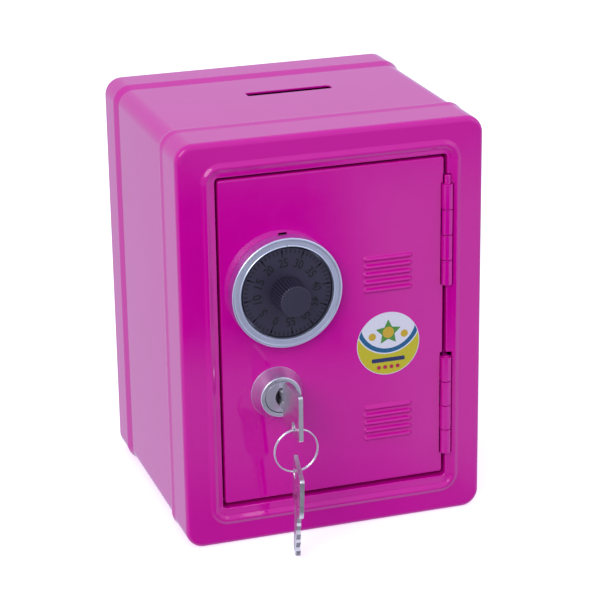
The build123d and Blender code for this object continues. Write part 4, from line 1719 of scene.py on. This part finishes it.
# ==== Lock ====================================================================================
@dataclass
class CamLock:
    """Cam lock: a conical chrome collar on a threaded barrel, and the plug that turns in it."""

    finishes: Finishes
    collar_height: float = 6.2 * MM
    collar_base: float = 10.35 * MM
    collar_face: float = 8.0 * MM
    bore: float = 6.42 * MM
    barrel: float = 7.5 * MM
    thread_pitch: float = 1.0 * MM
    thread_depth: float = 0.45 * MM
    thread_start: float = 1.3 * MM
    plug_radius: float = 6.2 * MM
    plug_edge: float = 0.25 * MM
    tang: float = 6.0 * MM
    keyway: Point = (1.9 * MM, 7.3 * MM)
    keyway_end: float = 1.6 * MM     # solid left behind the keyway
    recess: Point = (4.6 * MM, 7.4 * MM)
    recess_depth: float = 1.1 * MM
    clean_depth: float = 0.3 * MM    # the recess is painted in shade below this depth

    def __post_init__(self) -> None:
        """Read the lock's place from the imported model."""
        self.axis = Vector((middle("lock_plug").x, 0, middle("lock_housing").z))
        self.face, self.barrel_end = (corner.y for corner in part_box("lock_housing"))
        self.plug_front, self.plug_end = (corner.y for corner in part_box("lock_plug"))

    def build(self) -> None:
        """Build the housing and the plug."""
        door = self.face + self.collar_height
        outline = bend((self.bore, self.face + 0.3 * MM), (self.bore, self.face),
                       (self.bore + 0.2 * MM, self.face), 3)
        slope = (self.collar_base - self.collar_face) / self.collar_height
        outline += bend((self.collar_face - 0.3 * MM, self.face), (self.collar_face, self.face),
                        (self.collar_face + 0.5 * MM * slope, self.face + 0.5 * MM), 5)
        outline += [(self.collar_base - 0.6 * MM * slope, door - 0.6 * MM),
                    (self.collar_base, door - 0.35 * MM), (self.collar_base, door),
                    (self.barrel, door)]
        run = door + self.thread_start
        while run < self.barrel_end - 1.2 * self.thread_pitch:
            outline += [(self.barrel, run), (self.barrel - self.thread_depth,
                                             run + self.thread_pitch / 2)]
            run += self.thread_pitch
        outline += [(self.barrel, run), (self.barrel - 0.4 * MM, self.barrel_end),
                    (self.bore, self.barrel_end)]
        shape = bmesh.new()
        lathe(shape, outline, self.axis, steps=96)
        housing = from_bmesh("lock_barrel_and_collar", shape)
        smooth(housing)
        dress(housing, Body.DOOR.value, self.finishes.lock_chrome,
              ["lock_housing"])
        self.build_plug()

    def build_plug(self) -> None:
        """Turning plug with its keyway and its square tang; the keyway and the deep part of the
        recess get painted shade.
        """
        outline = [(self.plug_radius, self.barrel_end)]
        outline += bend((self.plug_radius, self.plug_front + self.plug_edge),
                        (self.plug_radius, self.plug_front),
                        (self.plug_radius - self.plug_edge, self.plug_front), 3)
        shape = bmesh.new()
        lathe(shape, outline, self.axis, steps=96, closed=False)
        plug = from_bmesh("plug", shape)
        wide, tall = (size / 2 for size in self.keyway)
        cutters = [box_cutter(self.axis + Vector((-wide, self.plug_front - MM, -tall)),
                              self.axis + Vector((wide, self.barrel_end - self.keyway_end, tall)))]
        wide, tall = (size / 2 for size in self.recess)
        radius = (wide ** 2 + tall ** 2) / (2 * wide)
        reach = math.asin(tall / radius)
        lens = []
        for side in (1, -1):
            for step in range(12):
                angle = reach * (2 * step / 12 - 1)
                lens.append((side * (radius * math.cos(angle) - radius + wide),
                             side * radius * math.sin(angle)))
        shape = bmesh.new()
        extruded(shape, lens, lambda x, z, y: self.axis + Vector((x, y, z)),
                 self.plug_front - MM, self.plug_front + self.recess_depth)
        cutters.append(from_bmesh("cutter", shape))
        cut(plug, cutters)
        plug.data.materials.append(self.finishes.lock_chrome)
        plug.data.materials.append(self.finishes.keyway_grease)
        # Faces inside the keyway and deep in the recess get the dark painted shade in place of
        # chrome.
        for face in plug.data.polygons:
            away = face.center - self.axis
            inside = math.hypot(away.x, away.z) < self.recess[1] / 2 + 0.05 * MM
            if inside and self.plug_front + self.clean_depth < face.center.y < self.barrel_end - MM:
                face.material_index = 1
        half = self.tang / 2
        tang = box_cutter(self.axis + Vector((-half, self.barrel_end - 0.3 * MM, -half)),
                          self.axis + Vector((half, self.plug_end, half)))
        tang.data.materials.append(self.finishes.lock_chrome)
        plug = merge("lock_plug_with_keyway", [plug, tang])
        smooth(plug, 0.08 * MM)
        dress(plug, Body.LOCK_PLUG.value, None, ["lock_plug"])


# ==== Keys ====================================================================================
@dataclass
class Keys:
    """Key in the lock, split ring and spare key."""

    finishes: Finishes
    sheet: float = 1.7 * MM
    bow: Point = (18.5 * MM, 19.5 * MM)
    length: float = 41.5 * MM
    hole_from_end: float = 6.5 * MM
    hole_from_side: float = 4.05 * MM
    hole_radius: float = 2.0 * MM
    outer_corner: float = 1.4 * MM
    inner_corner: float = 5.5 * MM
    blade: float = 7.0 * MM
    tip: float = 2.2 * MM
    bites: Tuple[float, ...] = (0.7 * MM, 1.3 * MM, 0.7 * MM, 1.2 * MM)
    groove: Point = (1.3 * MM, 0.35 * MM)
    edge_round: float = 0.18 * MM
    ring_radius: float = 8.6 * MM
    wire: float = 0.3 * MM
    coils: float = 1.93
    coil_spacing: float = 0.56 * MM
    wire_drop: float = 1.05 * MM     # from the middle of a key hole to the wire in it
    spare_turn: float = math.radians(10)
    spare_lean: float = math.radians(12)

    def __post_init__(self) -> None:
        """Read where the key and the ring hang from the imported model."""
        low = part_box("key")[0]
        self.hole = Vector((middle("key").x, low.y + self.hole_from_end,
                            low.z + self.hole_from_side))
        self.ring_centre = self.hole - Vector((0, 0, self.wire_drop + self.ring_radius))

    def build(self) -> None:
        """Build both keys and the ring."""
        up, back = Vector((0, 0, 1)), Vector((0, 1, 0))
        self.build_key("key_in_lock", Body.KEY, "key", self.hole, up, back)
        lean, turn = self.spare_lean, self.spare_turn
        across = Vector((-math.cos(lean) * math.sin(turn), -math.cos(lean) * math.cos(turn),
                         -math.sin(lean)))
        along = Vector((math.sin(lean) * math.sin(turn), math.sin(lean) * math.cos(turn),
                        -math.cos(lean)))
        hole = self.ring_centre - Vector((0, 0, self.ring_radius + self.wire_drop))
        self.build_key("spare_key_hanging", Body.SPARE_KEY, "spare_key", hole, across, along)
        self.build_ring()

    def outline(self) -> List[Point]:
        """Outline of a key: across the bow and along the key, from the middle of its hole."""
        left = -self.hole_from_side
        right = self.bow[0] - self.hole_from_side
        axis = (left + right) / 2
        low, high = axis - self.blade / 2, axis + self.blade / 2
        end, shoulder = -self.hole_from_end, self.bow[1] - self.hole_from_end
        tip = self.length - self.hole_from_end
        corners = [(left, end, self.outer_corner), (right, end, self.outer_corner),
                   (right, shoulder, self.inner_corner), (high, shoulder, 0.1 * MM)]
        pitch = (tip - self.tip - shoulder) / (len(self.bites) + 1)
        for place, depth in enumerate(self.bites):
            centre = shoulder + (place + 1) * pitch
            corners += [(high, centre - 0.38 * pitch, 0), (high - depth, centre - 0.14 * pitch, 0),
                        (high - depth, centre + 0.14 * pitch, 0), (high, centre + 0.38 * pitch, 0)]
        corners += [(high, tip - self.tip, 0.4 * MM), (axis, tip, 0.6 * MM),
                    (low, tip - self.tip, 0.4 * MM), (low, shoulder, 0.1 * MM),
                    (left, shoulder, self.inner_corner)]
        return rounded_outline(corners, 7)

    def build_key(self, name: str, body: Body, node: str, hole: Vector, across: Vector,
                  along: Vector) -> None:
        """Blank a key out of plate, mill its grooves and pierce its hole.

        Args:
            name: The piece's name.
            body: The body that it is.
            node: The node that it stands for.
            hole: Middle of its hole.
            across: Direction across the bow, towards the blade's axis.
            along: Direction along the key, towards its tip.
        """
        normal = across.cross(along)

        def place(u: float, v: float, w: float) -> Vector:
            """Point of the key, across, along and through it."""
            return hole + u * across + v * along + w * normal

        half = self.sheet / 2
        shape = bmesh.new()
        extruded(shape, self.outline(), place, -half, half)
        key = from_bmesh(name, shape)
        ring = [(self.hole_radius * math.cos(FULL_TURN * step / 48),
                 self.hole_radius * math.sin(FULL_TURN * step / 48)) for step in range(48)]
        axis = self.bow[0] / 2 - self.hole_from_side
        start, end = self.bow[1] - self.hole_from_end - MM, self.length
        width, depth = self.groove
        cutters = []
        strips = [(ring, -self.sheet, self.sheet)]
        for side in (1, -1):
            middle_u = axis + side * 0.6 * MM - 0.4 * MM
            strips.append(([(middle_u - width / 2, start), (middle_u + width / 2, start),
                            (middle_u + width / 2, end), (middle_u - width / 2, end)],
                           side * (half - depth), side * self.sheet))
        for outline, low, high in strips:
            shape = bmesh.new()
            extruded(shape, outline, place, low, high)
            cutters.append(from_bmesh("cutter", shape))
        cut(key, cutters)
        smooth(key, self.edge_round)
        dress(key, body.value, self.finishes.nickel, [node])

    def build_ring(self) -> None:
        """Split ring: a wire that follows a flat spring's two coils."""
        build = Builder("split_ring", {
            "Ring Radius": (FLOAT, self.ring_radius), "Wire Radius": (FLOAT, self.wire),
            "Coils": (FLOAT, self.coils), "Rise": (FLOAT, self.coils * self.coil_spacing),
            "Centre": (PLACE, tuple(self.ring_centre))})
        sizes = build.sizes
        spring = build.node("GeometryNodeCurveSpiral",
                            {"Resolution": 110, "Rotations": sizes["Coils"],
                             "Start Radius": sizes["Ring Radius"],
                             "End Radius": sizes["Ring Radius"], "Height": sizes["Rise"]})
        section = build.node("GeometryNodeCurvePrimitiveCircle", {"Resolution": 14,
                                                                  "Radius": sizes["Wire Radius"]})
        wire = build.node("GeometryNodeCurveToMesh",
                          {"Curve": spring.outputs[0], "Profile Curve": section.outputs[0],
                           "Fill Caps": True})
        rise = build.node("ShaderNodeMath", {0: sizes["Rise"], 1: -0.5}, operation="MULTIPLY")
        drop = build.node("ShaderNodeCombineXYZ", {"Z": rise.outputs[0]})
        level = build.node("GeometryNodeTransform", {"Geometry": wire.outputs[0],
                                                     "Translation": drop.outputs[0]})
        hung = build.node("GeometryNodeTransform",
                          {"Geometry": level.outputs[0], "Translation": sizes["Centre"],
                           "Rotation": (math.radians(90), math.radians(-38), 0.0)})
        ring = build.run("key_split_ring", hung.outputs[0], self.finishes.ring_wire)
        smooth(ring)
        dress(ring, Body.KEY_RING.value, self.finishes.ring_wire,
              ["key_ring"])


# ==== Inner parts that keep the model's shape =================================================
@dataclass
class Mechanism:
    """Click wheel, spring, cam and fixings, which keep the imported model's shape."""

    finishes: Finishes
    nodes: Dict[str, bpy.types.Object]

    def build(self) -> None:
        """Give each node its finish."""
        choices = {
            "dial_click_wheel": self.finishes.nylon, "dial_click_spring": self.finishes.brass,
            "dial_washer": self.finishes.zinc, "dial_screw": self.finishes.zinc,
            "lock_nut": self.finishes.zinc, "lock_cam": self.finishes.zinc,
            "cam_washer": self.finishes.zinc, "cam_screw": self.finishes.zinc,
            "lock_wafers": self.finishes.brass}
        for name, finish in choices.items():
            for slot in self.nodes[name].material_slots:
                slot.material = finish
            LOG.info("node %s: %s", name, finish.name)


# ==== Studio ==================================================================================
@dataclass
class Softbox:
    """Square area light that points at the safe."""

    place: Tuple[float, float, float]
    size: float
    power: float
    colour: Tuple[float, float, float] = (1.0, 1.0, 1.0)

    def build(self, name: str, target: Vector) -> None:
        """Add the light.

        Args:
            name: Its name.
            target: What it points at.
        """
        light = bpy.data.lights.new(name, "AREA")
        light.shape = "SQUARE"
        light.size = self.size
        light.energy = self.power
        light.color = self.colour
        holder = bpy.data.objects.new(name, light)
        holder.location = self.place
        holder.rotation_euler = (target - Vector(self.place)).to_track_quat("-Z", "Y").to_euler()
        bpy.context.scene.collection.objects.link(holder)


@dataclass
class Studio:
    """Pale floor, soft light and the camera."""

    target: Vector = field(default_factory=lambda: Vector((0.0, 18.85, 86.0)) * MM)
    azimuth: float = math.radians(18.11)
    elevation: float = math.radians(20.02)
    roll: float = math.radians(-0.834)
    distance: float = 919.95 * MM
    aim: Point = (-3.956 * MM, 8.137 * MM)
    focal_length: float = 136.26     # on a 36 mm wide sensor
    floor_half: float = 12.0
    sky: float = 0.80
    tint: Tuple[float, float, float, float] = (0.93, 0.97, 1.22, 1.0)

    def camera(self) -> None:
        """Place the camera on its bearing about the target."""
        sin_a, cos_a = math.sin(self.azimuth), math.cos(self.azimuth)
        sin_e, cos_e = math.sin(self.elevation), math.cos(self.elevation)
        back = Vector((-sin_a * cos_e, -cos_a * cos_e, sin_e))
        level = Vector((cos_a, -sin_a, 0))
        upright = back.cross(level)
        cos_r, sin_r = math.cos(self.roll), math.sin(self.roll)
        right = cos_r * level + sin_r * upright
        up = cos_r * upright - sin_r * level
        place = self.target - self.aim[0] * right - self.aim[1] * up + self.distance * back
        lens = bpy.data.cameras.new("camera")
        lens.lens = self.focal_length
        lens.sensor_width = 36.0
        lens.clip_start = 0.01
        camera = bpy.data.objects.new("camera", lens)
        camera.matrix_world = Matrix((
            (right.x, up.x, back.x, place.x), (right.y, up.y, back.y, place.y),
            (right.z, up.z, back.z, place.z), (0, 0, 0, 1)))
        bpy.context.scene.collection.objects.link(camera)
        bpy.context.scene.camera = camera

    def floor(self) -> None:
        """Pale painted floor, which shiny parts don't mirror."""
        shape = bmesh.new()
        bmesh.ops.create_grid(shape, x_segments=1, y_segments=1, size=self.floor_half)
        floor = from_bmesh("floor", shape, outward=False)
        tree, shader, place = surface("matt_white_floor_paint")
        cloud = speckle(tree, place.outputs["Object"], 60.0)
        tree.links.new(blend_colours(tree, cloud, "FBFBFB", "FFFFFF"),
                       shader.inputs["Base Color"])
        shader.inputs["Roughness"].default_value = 0.9
        shader.inputs["Specular IOR Level"].default_value = 0.1
        shader.inputs["Emission Color"].default_value = (1.0, 1.0, 1.0, 1.0)
        shader.inputs["Emission Strength"].default_value = 0.45
        floor.data.materials.append(material_of(tree))
        floor.visible_glossy = False
        floor.visible_diffuse = False

    def world(self) -> None:
        """White room that darkens in front of and below the safe."""
        world = bpy.data.worlds.new("white_room")
        world.use_nodes = True
        tree = world.node_tree
        tree.nodes.clear()
        place = add(tree, "ShaderNodeTexCoord")
        way = add(tree, "ShaderNodeSeparateXYZ", {0: place.outputs["Generated"]})
        x, y, z = way.outputs

        def curve(value: bpy.types.NodeSocket, source: Point, target: Point) -> Input:
            """Eased map of a value from one range onto another."""
            node = add(tree, "ShaderNodeMapRange",
                       {"Value": value, "From Min": source[0], "From Max": source[1],
                        "To Min": target[0], "To Max": target[1]},
                       interpolation_type="SMOOTHSTEP")
            return node.outputs[0]

        def maths(operation: str, *terms: Input) -> bpy.types.NodeSocket:
            """Result of a Math node."""
            return add(tree, "ShaderNodeMath", dict(enumerate(terms)),
                       operation=operation).outputs[0]

        front = curve(y, (-0.25, -0.7), (0.0, 1.0))
        low = curve(z, (0.25, -0.05), (0.0, 1.0))
        dark = maths("MULTIPLY", front, low)
        # What the front face mirrors: bright to the right and low down, dim above and at the foot.
        right = curve(x, (0.30, 0.335), (0.0, 0.95))
        below = curve(z, (-0.355, -0.375), (0.0, 0.65))
        foot = curve(z, (-0.395, -0.43), (1.0, 0.3))
        head = curve(z, (-0.305, -0.27), (0.0, 1.0))
        band = maths("MULTIPLY", maths("MAXIMUM", right, below), foot)
        glow = maths("ADD", maths("MULTIPLY", band, maths("SUBTRACT", 1.0, head)),
                     maths("MULTIPLY", head, 0.42))
        near = maths("ADD", maths("MULTIPLY", maths("SUBTRACT", 1.0, dark), self.sky),
                     maths("MULTIPLY", dark, glow))
        add(tree, "ShaderNodeOutputWorld",
            {"Surface": add(tree, "ShaderNodeBackground",
                            {"Color": self.tint, "Strength": near}).outputs[0]})
        bpy.context.scene.world = world

    def build(self) -> None:
        """Set up the camera, the room, the lights and the floor."""
        scene = bpy.context.scene
        scene.view_settings.view_transform = "Standard"
        self.camera()
        self.world()
        self.floor()
        Softbox((-0.95, -1.2, 0.95), 0.9, 9.6).build("key_light", self.target)
        Softbox((1.2, -0.9, 0.9), 0.9, 1.2).build("fill_light", self.target)
        LOG.info("studio: camera, floor, room and two lights")


def main() -> None:
    """Build the studio and every sub-assembly in order."""
    logging.basicConfig(level=logging.INFO, format="%(name)s: %(message)s")
    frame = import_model()
    Studio().build()
    finishes = Finishes()
    Case(finishes).build()
    Door(finishes).build()
    Hinge(finishes, "upper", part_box("upper_hinge_door_leaf")[1].z, 3.6 * MM).build()
    Hinge(finishes, "lower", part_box("lower_hinge_door_leaf")[1].z, 0.4 * MM).build()
    Bezel(finishes).build()
    Dial(finishes).build()
    CamLock(finishes).build()
    Keys(finishes).build()
    Mechanism(finishes, frame["nodes"]).build()


if __name__ == "__main__":
    main()
